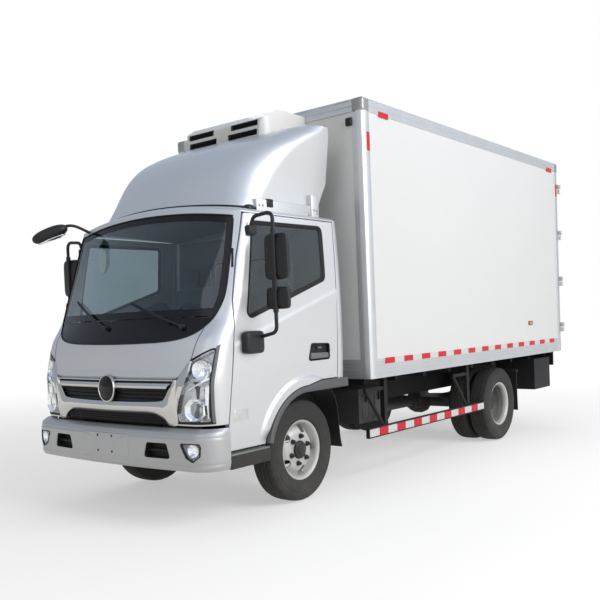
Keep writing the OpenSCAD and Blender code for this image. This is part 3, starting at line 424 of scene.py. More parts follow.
# outlines: radius, distance out from the wheel's middle
FRONT_RIM = [(0.214, 0.060), (0.223, 0.069), (0.229, 0.073), (0.231, 0.078), (0.228, 0.082), (0.221, 0.081),
             (0.212, 0.076), (0.204, 0.066), (0.198, 0.052), (0.196, 0.020), (0.193, 0.010), (0.186, 0.013),
             (0.172, 0.030), (0.158, 0.0465), (0.146, 0.0545), (0.130, 0.0578), (0.080, 0.0580), (0.055, 0.0580),
             (0.055, 0.050), (0.128, 0.0485), (0.150, 0.039), (0.188, -0.006), (0.197, -0.012), (0.198, -0.060),
             (0.206, -0.070), (0.214, -0.077), (0.228, -0.082), (0.231, -0.077), (0.223, -0.069), (0.212, -0.058),
             (0.2098, -0.048), (0.2098, 0.048)]
REAR_RIM = [(0.214, 0.178), (0.223, 0.187), (0.229, 0.191), (0.231, 0.196), (0.228, 0.200), (0.221, 0.199),
            (0.212, 0.194), (0.204, 0.184), (0.1985, 0.170), (0.197, 0.120), (0.1925, 0.112), (0.1925, 0.078),
            (0.186, 0.058), (0.172, 0.026), (0.158, 0.014), (0.120, 0.013), (0.098, 0.013), (0.060, 0.013),
            (0.060, -0.013), (0.120, -0.013), (0.158, -0.014), (0.172, -0.026), (0.186, -0.058), (0.197, -0.080),
            (0.198, -0.170), (0.206, -0.186), (0.214, -0.194), (0.228, -0.200), (0.231, -0.195), (0.223, -0.187),
            (0.212, -0.176), (0.2098, -0.166), (0.2098, -0.070), (0.2098, 0.070), (0.2098, 0.166)]
LIP = [(0.2145, 0.1775), (0.2235, 0.1865), (0.2295, 0.1905), (0.2316, 0.196), (0.2283, 0.2008), (0.2208, 0.1998),
       (0.2116, 0.1948), (0.2034, 0.1846), (0.1978, 0.170), (0.1972, 0.150), (0.199, 0.150), (0.205, 0.178)]
FRONT_HUB = [(0.0, 0.093), (0.030, 0.0925), (0.040, 0.089), (0.044, 0.082), (0.046, 0.080), (0.058, 0.079),
             (0.066, 0.073), (0.068, 0.066), (0.068, 0.0575), (0.074, 0.0570), (0.0, 0.050)]
REAR_HUB = [(0.0, 0.116), (0.052, 0.1155), (0.066, 0.112), (0.070, 0.102), (0.072, 0.082), (0.086, 0.079),
            (0.094, 0.072), (0.096, 0.060), (0.098, 0.012), (0.050, 0.011), (0.050, 0.098), (0.0, 0.099)]
NUT = [(0.0, 0.030), (0.0105, 0.030), (0.0125, 0.028), (0.0125, 0.021), (0.0165, 0.0195), (0.0175, 0.018),
       (0.0175, 0.003), (0.022, 0.0015), (0.023, 0.0), (0.0, 0.0)]
SIDES = (("left", 1), ("right", -1))
NUT_CIRCLE, NUT_COUNT, HOLE_CIRCLE, HOLE_COUNT, HOLE_REACH = 0.1025, 6, 0.165, 5, 0.13
wheel_paint = make_finish("wheel_paint", (0.60, 0.60, 0.58), 0.46, uneven=0.10, patch=10, dusty=0.30, reach=0.75,
                          grain_size=350, bump=0.06, metallic=0.25, coat_weight=0.15, coat_roughness=0.3)
hub_paint = make_finish("hub_paint", (0.020, 0.020, 0.021), 0.5, uneven=0.3, patch=25, dusty=0.12, reach=0.75,
                        specular_ior_level=0.3)
# the rear discs' dark grey is painted shade for the inside of the deep dish; the road dust over it is real
rear_disc_painted_shade = make_finish("rear_wheel_painted_shade", (0.17, 0.17, 0.163), 0.52, uneven=0.2, patch=12, dusty=0.25, reach=0.75,
                         grain_size=350, bump=0.08)


def ring_of(centre, radius, count, start):
    """Places evenly spaced on a circle about the wheel's axis."""
    angle = start + np.arange(count) * 2 * np.pi / count
    return xyz(centre[0], centre[1] + radius * np.sin(angle), centre[2] + radius * np.cos(angle))


# end, disc outline, its paint (on the rear discs a dark grey that is painted shade), hub outline, hole radius, nut
# face
WHEEL_ENDS = [("front", FRONT_RIM, wheel_paint, FRONT_HUB, 0.034, 0.0575),
              ("rear", REAR_RIM, rear_disc_painted_shade, REAR_HUB, 0.027, 0.0130)]
for end, rim_line, paint, hub_line, hole, face in WHEEL_ENDS:
    for side_name, out in SIDES:
        corners = np.array([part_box(n) for n in TYRES if n.startswith(f"{end}_tyre_{side_name}")])
        centre = (corners[:, 0].min(0) + corners[:, 1].max(0)) / 2
        body, name = f"wheel_{end}_{side_name}", f"{end}_wheel_{side_name}"
        disc = turned(np.array(rim_line) * (1, out), centre, 120, True)
        drill = [(0, -HOLE_REACH), (hole, -HOLE_REACH), (hole, HOLE_REACH), (0, HOLE_REACH)]
        holes = [turned(drill, place, 28) for place in ring_of(centre, HOLE_CIRCLE, HOLE_COUNT, 0.35)]
        piece(f"{name}_disc", body, "wheel_silver", paint, carve([disc], holes), crease=28,
              stands_for=[f"{end}_rim_{side_name}"])
        if end == "rear":
            lip = turned(np.array(LIP) * (1, out), centre, 96, True)
            piece(f"{name}_lip", body, "wheel_silver", wheel_paint, lip, crease=40)
        nuts = [turned((np.array(NUT) + (0, face)) * (1, out), place, 6)
                for place in ring_of(centre, NUT_CIRCLE, NUT_COUNT, 0.2)]
        hub = turned(np.array(hub_line) * (1, out), centre, 56)
        piece(f"{name}_hub", body, "steel_dark", hub_paint, hub, *nuts, crease=30)

# Insulated box: foam panels with white gel-coat skins, bonded into aluminium edge rails.
# The panels are the CAD slabs; the skin is faintly wavy, as laid-up sheet is.
gel_coat = make_finish("gel_coat", (0.80, 0.805, 0.80), 0.34, uneven=0.025, patch=1.2, dusty=0.05, reach=1.6,
                       grain_size=60, bump=0.03, coat_weight=0.3, coat_roughness=0.2)
dress(gel_coat, "box_left_wall", "box_right_wall", "box_front_wall", "box_roof")
bare_alloy = make_finish("bare_alloy", (0.60, 0.61, 0.615), 0.40, uneven=0.08, patch=6, dusty=0.12, reach=1.4,
                         grain_size=300, stretch=0.03, bump=0.06, metallic=0.8)
dress(bare_alloy, "box_floor", "box_rear_frame")

# Edge rails: extruded aluminium angles. The bottom rail has four ribs, the top rail a drip lip, and the
# upright posts a raised strip on each face; cast caps cover the four upper corners.
floor_low, floor_high = np.array(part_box("box_floor"))
BOX_X, BOX_FRONT, BOX_BACK = floor_high[0], floor_low[1], floor_high[1]
BOX_LOW, BOX_HIGH = floor_low[2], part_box("box_roof")[1][2]


def swept(profile, start, end, side, up):
    """A closed outline carried straight from start to end; outline columns run along side and up."""
    outline = np.asarray(profile, float) @ np.array([side, up], float)
    return shell(np.stack([np.asarray(start) + outline, np.asarray(end) + outline]), wrap_v=True, cap=True)


# bottom rail: distance out from the panel, height above its lower edge
BOTTOM_RAIL = [(-0.012, 0.0), (0.006, 0.0)]
for rib in 0.010 + 0.034 * np.arange(4):
    BOTTOM_RAIL += [(0.006, rib), (0.0032, rib + 0.003), (0.0032, rib + 0.020), (0.006, rib + 0.024)]
BOTTOM_RAIL += [(0.006, 0.150), (0.003, 0.158), (-0.012, 0.158)]
# top rail: distance out from the panel, depth below the roof
TOP_RAIL = [(-0.014, 0.006), (-0.008, 0.007), (0.004, 0.005), (0.009, 0.0), (0.0095, -0.006), (0.006, -0.012),
            (0.006, -0.050), (0.003, -0.053), (0.003, -0.066), (0.006, -0.069), (0.006, -0.096), (0.003, -0.100),
            (-0.014, -0.100)]
# front and rear posts: distance out from the side, distance back from the corner
POST = [(-0.014, 0.090), (0.003, 0.090), (0.0045, 0.086), (0.0045, 0.060), (0.008, 0.056), (0.008, 0.026),
        (0.002, 0.004), (-0.006, -0.006), (-0.026, -0.009), (-0.056, -0.009), (-0.060, -0.005), (-0.098, -0.004),
        (-0.100, 0.0), (-0.100, 0.012), (-0.014, 0.012)]
REAR_POST = [(-0.014, -0.086), (0.004, -0.086), (0.0075, -0.080), (0.0075, -0.010), (0.004, 0.001), (-0.014, 0.001)]
POST_TOP = BOX_HIGH - 0.02
rails = []
for out in (1, -1):
    x = out * BOX_X
    for line, y0, y1, z in ((BOTTOM_RAIL, BOX_FRONT + 0.02, BOX_BACK - 0.03, BOX_LOW),
                            (TOP_RAIL, BOX_FRONT, BOX_BACK, BOX_HIGH)):
        rails.append(swept(line, (x, y0, z), (x, y1, z), (out, 0, 0), (0, 0, 1)))
    for line, y in ((POST, BOX_FRONT), (REAR_POST, BOX_BACK)):
        rails.append(swept(line, (x, y, BOX_LOW), (x, y, POST_TOP), (out, 0, 0), (0, 1, 0)))
for z, line in ((BOX_LOW, BOTTOM_RAIL), (BOX_HIGH, TOP_RAIL)):
    rails.append(swept(line, (-BOX_X + 0.09, BOX_FRONT, z), (BOX_X - 0.09, BOX_FRONT, z), (0, -1, 0), (0, 0, 1)))
piece("box_edge_rails", "chassis", "aluminium", bare_alloy, *rails, crease=25)


def block(x, y, z, radius, steps=3, out=1):
    """Box with rounded edges, from a pair of places along each axis: a sphere's surface pulled apart at its
    octants to the box's corners. An out of -1 puts it on the other side of the truck."""
    ends = np.sort(np.transpose([np.multiply(x, out), y, z]), axis=0)
    low, high = ends
    radius = min(radius, *((high - low) / 2.001))
    quarter = np.linspace(0, np.pi / 2, steps + 1)
    lat = np.concatenate([quarter - np.pi / 2, quarter])[:, None]
    lon = np.concatenate([quarter + k * np.pi / 2 for k in range(4)])[None, :]
    sides = xyz(*(np.repeat(signs, steps + 1) for signs in ([1, -1, -1, 1], [1, 1, -1, -1])),
                np.repeat([-1, 1], steps + 1)[:, None])
    ray = xyz(np.cos(lat) * np.cos(lon), np.cos(lat) * np.sin(lon), np.sin(lat))
    return shell(np.where(sides > 0, high - radius, low + radius) + radius * ray, wrap_v=True, cap=True)


caps = [block((BOX_X + 0.012, BOX_X - 0.10), (y - inward * 0.012, y + inward * 0.095),
              (BOX_HIGH - 0.105, BOX_HIGH + 0.010), 0.022, 4, out)
        for out in (1, -1) for y, inward in ((BOX_FRONT, 1), (BOX_BACK, -1))]
corner_cast = make_finish("corner_casting", (0.34, 0.345, 0.33), 0.38, uneven=0.2, patch=12, metallic=0.7, bump=0.15)
piece("box_corner_caps", "chassis", "aluminium", corner_cast, *caps, crease=40)

# Reflective tape: short red and silver-white strips stuck along the box's bottom rail, in its upper
# corners and on the side guards. The film has a fine honeycomb of cells.


def tape_finish(name, color):
    """Sticky film: honeycomb cells from a voronoi pattern vary the colour and the gloss."""
    material, tree = new_material(name)
    cells = add(tree, "TexVoronoi", vector=add(tree, "TexCoord").outputs["Object"], scale=260.0).outputs
    surface(tree, add(tree, "BsdfPrincipled", coat_weight=0.12, coat_roughness=0.3, specular_ior_level=0.25,
                      base_color=blend_colors(tree, "MULTIPLY", 0.35, (*color, 1), cells["Color"]),
                      roughness=math_node(tree, "MULTIPLY_ADD", cells["Distance"], 0.5, 0.22)))
    return material


tape_red = tape_finish("tape_red", (0.80, 0.018, 0.035))
tape_white = tape_finish("tape_white", (0.86, 0.86, 0.84))
FILM = 0.0012


def strip(x, y, z, long, tall, out):
    """One strip of film on a side face: its middle at x, y, z."""
    return block((x - 0.004, x + FILM), (y - long / 2, y + long / 2), (z - tall / 2, z + tall / 2), 0.0006, 1, out)


TAPE_LONG, TAPE_TALL, TAPE_Z = 0.150, 0.048, 0.997
# tapes in the upper corners: distance behind the front axle, height, length, height of the strip
CORNER_TAPES = [(1.020, 3.020, 0.150, 0.045), (0.775, 2.774, 0.045, 0.150), (4.905, 2.796, 0.045, 0.150),
                (4.700, 3.020, 0.150, 0.045)]
GUARD_Z, GUARD_TALL, GUARD_BLOCKS = 0.4115, 0.062, 15
guard_low, guard_high = np.array(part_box("side_guards"))
guard_y = np.linspace(guard_low[1] + 0.012, guard_high[1] - 0.012, GUARD_BLOCKS + 1)
row = AXLE_Y + np.linspace(0.992, 4.646, 13)
red, white = [], []
for out in (1, -1):
    red += [strip(BOX_X + 0.006, y, TAPE_Z, TAPE_LONG, TAPE_TALL, out) for y in row]
    white += [strip(BOX_X + 0.006, y, TAPE_Z, TAPE_LONG, TAPE_TALL, out) for y in row[:-1] + (row[1] - row[0]) / 2]
    red += [strip(BOX_X + 0.0075, AXLE_Y + d, z, long, tall, out) for d, z, long, tall in CORNER_TAPES]
    for k in range(GUARD_BLOCKS):
        (red if k % 2 else white).append(strip(guard_high[0], guard_y[k:k + 2].mean(), GUARD_Z,
                                               np.diff(guard_y[k:k + 2])[0], GUARD_TALL, out))
piece("reflective_tape_red", "chassis", "lamp_red", tape_red, *red)
piece("reflective_tape_white", "chassis", "panel_white", tape_white, *white)

# Cab shell: pressed steel panels in pearl silver under clear coat. The nose, corner pillars and screen frame
# are one curved skin: at each height a shallow bow across the front runs into a corner arc and a flat side.
OVERHANG, HALF_CAB, WALL, ROOF_Z, PANEL_Z, CAB_REAR, CROWN = 1.150, 0.950, 0.040, 2.120, 0.690, 0.520, 0.064
# height, setback of the middle from the bumper, narrowing, corner radius, sweep angle in degrees
NOSE = np.array([
    (0.480, 0.084, 0.030, 0.190, 6.0), (0.690, 0.068, 0.018, 0.182, 7.0), (0.820, 0.054, 0.012, 0.175, 7.5),
    (0.950, 0.053, 0.006, 0.165, 8.0), (1.060, 0.074, 0.002, 0.155, 9.0), (1.250, 0.110, 0.000, 0.140, 12.0),
    (1.330, 0.140, 0.000, 0.132, 15.0), (1.400, 0.167, 0.001, 0.125, 17.5), (1.512, 0.210, 0.002, 0.120, 18.0),
    (1.650, 0.264, 0.006, 0.118, 17.0), (1.800, 0.324, 0.012, 0.115, 15.5), (1.960, 0.388, 0.022, 0.112, 13.5),
    (2.120, 0.452, 0.034, 0.110, 12.0), (2.180, 0.476, 0.042, 0.108, 11.0)])
# door's front seam: height, distance from the bumper
SEAM = np.array([(0.480, 0.290), (0.650, 0.300), (1.512, 0.394), (1.800, 0.470), (2.120, 0.572)])
DOOR_GAP, DOOR_REAR, CROWN_FROM = 0.008, 0.395, 1.9


def through_knots(x, knots, values):
    """Smooth curve through the knots that never overshoots: cubic pieces whose slopes are the harmonic mean
    of the neighbouring chords, or zero at a turn."""
    x = np.clip(x, knots[0], knots[-1])
    step = np.diff(knots)
    chord = np.diff(values) / step
    inner = np.where(chord[:-1] * chord[1:] > 0, 2 * chord[:-1] * chord[1:] / (chord[:-1] + chord[1:] + 1e-12), 0)
    slope = np.concatenate([chord[:1], inner, chord[-1:]])
    k = np.clip(np.searchsorted(knots, x, side="right") - 1, 0, len(step) - 1)
    t = (x - knots[k]) / step[k]
    return ((1 + 2 * t) * (1 - t) ** 2 * values[k] + t * (1 - t) ** 2 * step[k] * slope[k]
            + t**2 * (3 - 2 * t) * values[k + 1] + t**2 * (t - 1) * step[k] * slope[k + 1])


def level(table, z, inset):
    """Half width, front, corner radius, sweep, and the end and centre of the corner arc at each height."""
    setback, narrow, radius, sweep = (through_knots(z, table[:, 0], table[:, c]) for c in range(1, 5))
    half, front, radius = HALF_CAB - narrow - inset, setback - OVERHANG + inset, np.maximum(0.012, radius - inset)
    sweep = np.radians(sweep)
    bow = half - radius + radius * np.sin(sweep)
    corner = front + bow * np.tan(sweep) / 2
    return half, front, radius, sweep, bow, corner, corner + radius * np.cos(sweep)


def section(table, z, inset, end, counts):
    """Half of the skin's outline at each height, from the middle to the depth end: bow, corner arc, side.
    Returns x and depth, heights by points."""
    half, front, radius, sweep, bow, corner, centre = (v[:, None] for v in level(table, z, inset))
    end = np.broadcast_to(np.asarray(end, float), z.shape)[:, None]
    stop = np.minimum(corner, end - 0.003)
    share = np.sqrt((stop - front) / (corner - front))
    t = np.linspace(0, 1, counts[0])[None, :] * share
    arc_t, side_t = (np.linspace(0, 1, n + 1)[None, 1:] for n in counts[1:])
    last = np.maximum(sweep, np.arccos(np.clip((centre - np.minimum(end, centre)) / radius, -1, 1)))
    a = sweep + (last - sweep) * arc_t
    arc_d = np.where(stop < corner, stop + (end - stop) * arc_t, centre - radius * np.cos(a))
    arc_x = np.where(stop < corner, bow * share, half - radius + radius * np.sin(a))
    side_d = arc_d[:, -1:] + (end - arc_d[:, -1:]) * side_t
    x = np.concatenate([bow * t, arc_x, arc_x[:, -1:] + 0 * side_d], 1)
    return x, np.concatenate([front + (corner - front) * t**2, arc_d, side_d], 1)


def lift(z):
    """How far the crown raises the middle of the cab at a height."""
    return CROWN * np.clip((z - CROWN_FROM) / (ROOF_Z - CROWN_FROM), 0, None)


def nose_grid(table, z, inset, end, rise=None, counts=(22, 12, 8)):
    """Points of the skin from the left end round the front to the right end, for each height."""
    x, d = section(table, z, inset, end, counts)
    half = level(table, z, inset)[0][:, None]
    up = z[:, None] + (lift(z) if rise is None else rise)[:, None] * (1 - (x / half) ** 2)
    left = xyz(x, d + AXLE_Y, up)
    return np.concatenate([left[:, ::-1], left[:, 1:] * (-1, 1, 1)], 1)


def nose_depth(x, z, table=NOSE):
    """Depth of the front skin at a width and a height seen from ahead; the crown is taken off the height."""
    x, z = np.broadcast_arrays(np.abs(np.asarray(x, float)), np.asarray(z, float))
    flat = z.copy()
    for _ in range(6):
        flat = z - lift(flat) * (1 - (x / HALF_CAB) ** 2) if table is NOSE else z
    half, front, radius, sweep, bow, corner, centre = level(table, flat, 0.0)
    arc = centre - np.sqrt(np.clip(radius**2 - np.clip(x - half + radius, 0, radius) ** 2, 0, None))
    return np.where(x <= bow, front + (corner - front) * (x / bow) ** 2, arc)


def sheet(outer, inner):
    """Closed shell between two grids of the same size, joined round their edges."""
    rows, columns = outer.shape[:2]
    n = rows * columns
    number = np.arange(n).reshape(rows, columns)
    quads = np.stack([number[:-1, :-1], number[:-1, 1:], number[1:, 1:], number[1:, :-1]], -1).reshape(-1, 4)
    edge = np.concatenate([number[0, :-1], number[:-1, -1], number[-1, :0:-1], number[:0:-1, 0]])
    after = np.roll(edge, -1)
    rim = np.stack([after, edge, edge + n, after + n], 1)
    faces = np.concatenate([quads, quads[:, ::-1] + n, rim]).tolist()
    return np.concatenate([outer.reshape(-1, 3), inner.reshape(-1, 3)]), faces


def rounded(corners, radius, steps=6):
    """Closed outline with each corner replaced by an arc of the radius."""
    p = np.asarray(corners, float)
    u, v = (w / np.linalg.norm(w, axis=1, keepdims=True) for w in (np.roll(p, 1, 0) - p, np.roll(p, -1, 0) - p))
    half = np.arccos(np.clip((u * v).sum(1), -1, 1)) / 2
    mid = p + (u + v) / np.linalg.norm(u + v, axis=1, keepdims=True) * (radius / np.sin(half))[:, None]
    a0, a1 = (np.arctan2(*(p + w * (radius / np.tan(half))[:, None] - mid).T[::-1]) for w in (u, v))
    turn = (a1 - a0 + np.pi) % (2 * np.pi) - np.pi
    a = a0[:, None] + turn[:, None] * np.linspace(0, 1, steps + 1)
    return (mid[:, None] + radius * np.stack([np.cos(a), np.sin(a)], -1)).reshape(-1, 2)


def through(outline, y0, y1):
    """Prism of an outline in x and z between two places along the truck."""
    return swept(outline, (0, y0, 0), (0, y1, 0), (1, 0, 0), (0, 0, 1))


def seam(z):
    """Depth of the door's front seam at a height."""
    return np.interp(z, SEAM[:, 0], SEAM[:, 1]) - OVERHANG


SCREEN_HALF = np.array([(0, 1.238), (0.33, 1.242), (0.52, 1.250), (0.66, 1.270), (0.76, 1.310), (0.83, 1.380),
                        (0.872, 1.480), (0.884, 1.600), (0.868, 1.850), (0.850, 2.040), (0.838, 2.085),
                        (0.800, 2.107), (0.440, 2.150), (0, 2.166)])
SCREEN = smooth_line(np.concatenate([SCREEN_HALF, SCREEN_HALF[-2:0:-1] * (-1, 1)]), 220, closed=True)
LAMP = rounded([(0.640, PANEL_Z + 0.014), (0.902, PANEL_Z + 0.014), (0.926, 1.212), (0.752, 1.128)], 0.018)
GRILLE = rounded([(-0.568, PANEL_Z - 0.020), (0.568, PANEL_Z - 0.020), (0.690, 1.046), (-0.690, 1.046)], 0.016)
NOSE_Y = AXLE_Y - OVERHANG - 0.05

nose_z = np.linspace(PANEL_Z, ROOF_Z, 88)
nose_shell = sheet(*(nose_grid(NOSE, nose_z, inset, seam(nose_z) - DOOR_GAP / 2) for inset in (0.0, WALL)))
openings = [through(SCREEN, NOSE_Y, AXLE_Y - 0.500), through(GRILLE, NOSE_Y, AXLE_Y - 0.700)]
openings += [through(LAMP * (s, 1), NOSE_Y, AXLE_Y + 0.292 - OVERHANG) for s in (1, -1)]


def silver_finish(name, color, flake, dusty):
    """Pearl paint: a metallic base with fine flakes that tilt the normal, under a smooth clear coat."""
    material, tree = new_material(name)
    tone = add(tree, mottle, color=(*color, 1), scale=1.5, amount=0.03)
    film = add(tree, dust, color=tone.outputs["Color"], amount=dusty, reach=1.3)
    cells = add(tree, "TexVoronoi", vector=add(tree, "TexCoord").outputs["Object"], scale=900.0).outputs
    sparkle = blend_colors(tree, "OVERLAY", flake, film.outputs["Color"], cells["Color"])
    surface(tree, add(tree, "BsdfPrincipled", metallic=0.70, coat_weight=0.5, coat_roughness=0.10,
                      base_color=add(tree, "HueSaturation", saturation=0.15, color=sparkle).outputs[0],
                      roughness=math_node(tree, "MULTIPLY_ADD", film.outputs["Mask"], 0.3, 0.45),
                      normal=add(tree, "Bump", strength=0.03, distance=0.001, height=cells["Distance"]).outputs[0]))
    return material


pearl_silver = silver_finish("pearl_silver", (0.62, 0.625, 0.62), 0.10, 0.08)
dress(pearl_silver, "cab_rear_wall")
piece("cab_nose", "cab", "paint_silver", pearl_silver, carve([nose_shell], openings), crease=30,
      stands_for=["cab_front"])

# Doors: pressed skins on hidden hinges at their front edge, with a window opening and the wheel arch cut
# from the lower edge. A crease climbs along the belt and a lip stands out round the arch.
DOOR_LOW, ARCH_R, AXLE_Z, FLOOR_Z = 0.505, 0.490, 0.385, 0.893
# ends of the belt crease: distance behind the front axle, height
CREASE = ((-0.784, 1.212), (0.289, 1.546))


def rear_seam(z):
    """Depth of the door's rear seam at a height."""
    return DOOR_REAR + (z - 0.9) * 0.03


def side_x(z, d, inset=0.0):
    """Half width of the cab's side at a height and a depth behind the front axle."""
    half, front, radius, sweep, bow, corner, centre = level(NOSE, z, inset)
    arc = half - radius + np.sqrt(np.clip(radius**2 - np.clip(centre - d, 0, radius) ** 2, 0, None))
    return np.where(d > centre, half, arc)


def soft_step(x):
    """Rises smoothly from 0 to 1 round zero."""
    return 1 / (1 + np.exp(np.clip(-x, -40, 40)))


def ramp(x, start, length):
    """Straight rise from 0 at the start to 1 at its end."""
    return np.clip((x - start) / length, 0, 1)


def door_relief(d, z):
    """How far the door's skin stands out: a soft step below the belt crease and a raised
    band round the wheel arch."""
    (d0, z0), (d1, z1) = CREASE
    below = z0 + (z1 - z0) * (d - d0) / (d1 - d0) - z
    step = 0.007 * soft_step(below / 0.006) * np.exp(-np.clip(below, 0, None) / 0.16)
    ring = np.hypot(d, z - AXLE_Z) - ARCH_R
    flare = 0.016 * soft_step((0.066 - ring) / 0.0035) * ramp(d, -0.56, 0.08) * ramp(z, 0.54, 0.06)
    return (step * ramp(d, d0 - 0.05, 0.10) + flare) * ramp(z, DOOR_LOW, 0.05)


WINDOW = rounded([(seam(1.372) + 0.120, 1.372), (DOOR_REAR - 0.120, 1.662), (DOOR_REAR - 0.112, ROOF_Z - 0.052),
                  (seam(ROOF_Z - 0.052) + 0.068, ROOF_Z - 0.062)], 0.045)
door_z = np.linspace(DOOR_LOW, ROOF_Z - DOOR_GAP, 170)[:, None]
door_t = np.linspace(0, 1, 120)[None, :] ** 1.15
door_d = (seam(door_z) + DOOR_GAP / 2) * (1 - door_t) + (rear_seam(door_z) - DOOR_GAP / 2) * door_t


def door_grid(out, inset, relief=1.0):
    """Points of a door's skin by height and depth, out to one side."""
    flat_z = door_z + 0 * door_t
    x = side_x(flat_z.ravel(), door_d.ravel(), inset).reshape(door_d.shape) + relief * door_relief(door_d, flat_z)
    return xyz(out * x, door_d + AXLE_Y, flat_z)


def across(outline, x0, x1):
    """Prism of an outline in y and z between two places across the truck."""
    return swept(outline, (x0, 0, 0), (x1, 0, 0), (0, 1, 0), (0, 0, 1))


def circle(count, wide, tall, middle=(0, 0)):
    """Outline of an ellipse with that half width and half height."""
    a = np.linspace(0, 2 * np.pi, count, endpoint=False)
    return np.stack([middle[0] + wide * np.cos(a), middle[1] + tall * np.sin(a)], 1)


# outline of the pocket for the door handle: distance behind the front axle and height
HANDLE = rounded([(0.024, 1.050), (0.294, 1.052), (0.292, 1.176), (0.062, 1.185)], 0.022)
arch_disc = circle(96, ARCH_R, ARCH_R, (AXLE_Y, AXLE_Z))
under_sill = np.array([(0, 0.40), (0.60, 0.40), (0.60, FLOOR_Z + 0.012), (0.16, FLOOR_Z + 0.012),
                       (0, AXLE_Z + ARCH_R)]) + (AXLE_Y, 0)
pocket_line = HANDLE.mean(0) + 0.95 * (HANDLE - HANDLE.mean(0)) + (AXLE_Y, 0)
for side_name, out in SIDES:
    body = f"door_{side_name}"
    span = sorted((out * 0.60, out * 1.10))
    cuts = [across(line, *span) for line in (WINDOW + (AXLE_Y, 0), arch_disc)]
    skin = carve([sheet(door_grid(out, 0.0), door_grid(out, WALL, 0.0))], cuts)
    pocket = across(pocket_line, *sorted((out * 0.916, out * 1.10)))
    skin = carve([skin], [across(under_sill, *span), pocket])
    piece(f"{body}_skin", body, "paint_silver", pearl_silver, skin, crease=28, stands_for=[body])

# Roof: one pressed skin, painted with the cab. It is a shallow dome that meets the nose, the door frames and the
# rear posts on one edge.
ROOF_RISE, ROOF_MID, REAR_CORNER = 0.060, -0.090, 0.070


def rear_row(z, inset, start, steps=10):
    """Outline of the cab's back at one height, from the right side round the rear corners to the left."""
    half = level(NOSE, np.array([z]), inset)[0][0]
    radius, back = max(0.012, REAR_CORNER - inset), CAB_REAR - inset
    a = np.linspace(0, np.pi / 2, steps)
    x = np.concatenate([[-half], -(half - radius) - radius * np.cos(a), np.linspace(-half * 0.9, 0, 12)])
    d = np.concatenate([[start], back - radius + radius * np.sin(a), np.full(12, back)])
    right = np.stack([x, d], 1)
    return np.concatenate([right, right[-2::-1] * (-1, 1)])


def roof_rings(inset, rise, shares):
    """Rings that shrink towards the middle while they rise along a flat-topped curve."""
    edge_end = seam(ROOF_Z) - DOOR_GAP / 2
    front = nose_grid(NOSE, np.array([ROOF_Z]), inset, edge_end)[0] - (0, AXLE_Y, 0)
    back = rear_row(ROOF_Z, inset, rear_seam(ROOF_Z) + DOOR_GAP / 2)
    half = level(NOSE, np.array([ROOF_Z]), inset)[0][0]
    back = np.column_stack([back, ROOF_Z + CROWN * (1 - (back[:, 0] / half) ** 2)])
    edge, s = np.concatenate([front, back]), np.asarray(shares)[:, None]
    depth = AXLE_Y + ROOF_MID + (edge[:, 1] - ROOF_MID) * s
    middle = s * edge[:, 2] + (1 - s) * (ROOF_Z + CROWN * (1 - (s * edge[:, 0] / half) ** 2))
    return xyz(edge[:, 0] * s, depth, middle + rise * np.sqrt(np.clip(1 - s**6, 0, 1)))


def dome(inset, rise, drop):
    """Closed dome between the rings at an inset and a second layer below them, deeper by the drop."""
    layers = [roof_rings(inset[0], rise, shares), roof_rings(inset[1], rise - drop, shares[::-1])]
    return np.concatenate(layers)


shares = np.concatenate([[0.0], np.linspace(0.15, 0.85, 9), 1 - 0.15 * np.linspace(1, 0, 14)[1:] ** 2])
piece("cab_roof_skin", "cab", "paint_silver", pearl_silver,
      shell(dome((0.0, WALL), ROOF_RISE, WALL * 0.7), wrap_v=True), crease=40, stands_for=["cab_roof"])

# Air deflector: a hollow moulding of glass fibre on the roof, painted with the cab. It sweeps up to the box's
# height, flares at its foot, and is cut out at the back round the cooling unit. Columns as in the nose's table.
DEFLECT = np.array([
    (2.160, 0.546, 0.152, 0.206, 14), (2.210, 0.572, 0.156, 0.220, 14), (2.310, 0.615, 0.162, 0.260, 15),
    (2.420, 0.664, 0.158, 0.300, 16), (2.520, 0.730, 0.148, 0.320, 16), (2.610, 0.815, 0.136, 0.330, 16),
    (2.690, 0.925, 0.126, 0.330, 15), (2.760, 1.070, 0.118, 0.320, 13), (2.830, 1.250, 0.112, 0.290, 10),
    (2.885, 1.430, 0.114, 0.200, 6)])
UNIT_X, UNIT_Z, UNIT_FRONT = 0.485, 2.570, 0.185
deflect_z = np.linspace(DEFLECT[0, 0], DEFLECT[-1, 0], 76)
deflect_end = CAB_REAR + 0.020 - 0.180 * np.clip(1 - (deflect_z - ROOF_Z) / 0.320, 0, None)
deflect_rise = CROWN * np.clip(1 - (deflect_z - ROOF_Z) / 0.300, 0, None)


def deflect_grid(inset):
    """Points of the deflector's skin, moved in by the inset."""
    return nose_grid(DEFLECT, deflect_z, inset, deflect_end, deflect_rise, (26, 22, 14))


BAY_FRONT, BAY_BACK, BAY_LOW, BAY_HIGH = UNIT_FRONT - 0.075, CAB_REAR + 0.10, UNIT_Z - 0.12, 3.30
unit_bay = np.array([(BAY_FRONT, BAY_LOW), (BAY_BACK, BAY_LOW), (BAY_BACK, BAY_HIGH), (BAY_FRONT, BAY_HIGH)])
deflect_cut = carve([sheet(deflect_grid(0), deflect_grid(0.016))],
                    [across(unit_bay + (AXLE_Y, 0), -UNIT_X - 0.06, UNIT_X + 0.06)])
piece("roof_deflector", "cab", "paint_silver", pearl_silver, deflect_cut, crease=32, stands_for=["deflector"])

# Deflector mountings: painted sheet brackets bolted between the roof and the deflector's foot on each side,
# with a dark pad on the long one and a small dark lamp ahead of it.
BOLT_HEAD = np.array([(0, 0.007), (0.006, 0.007), (0.009, 0.004), (0.009, -0.004), (0, -0.004)])
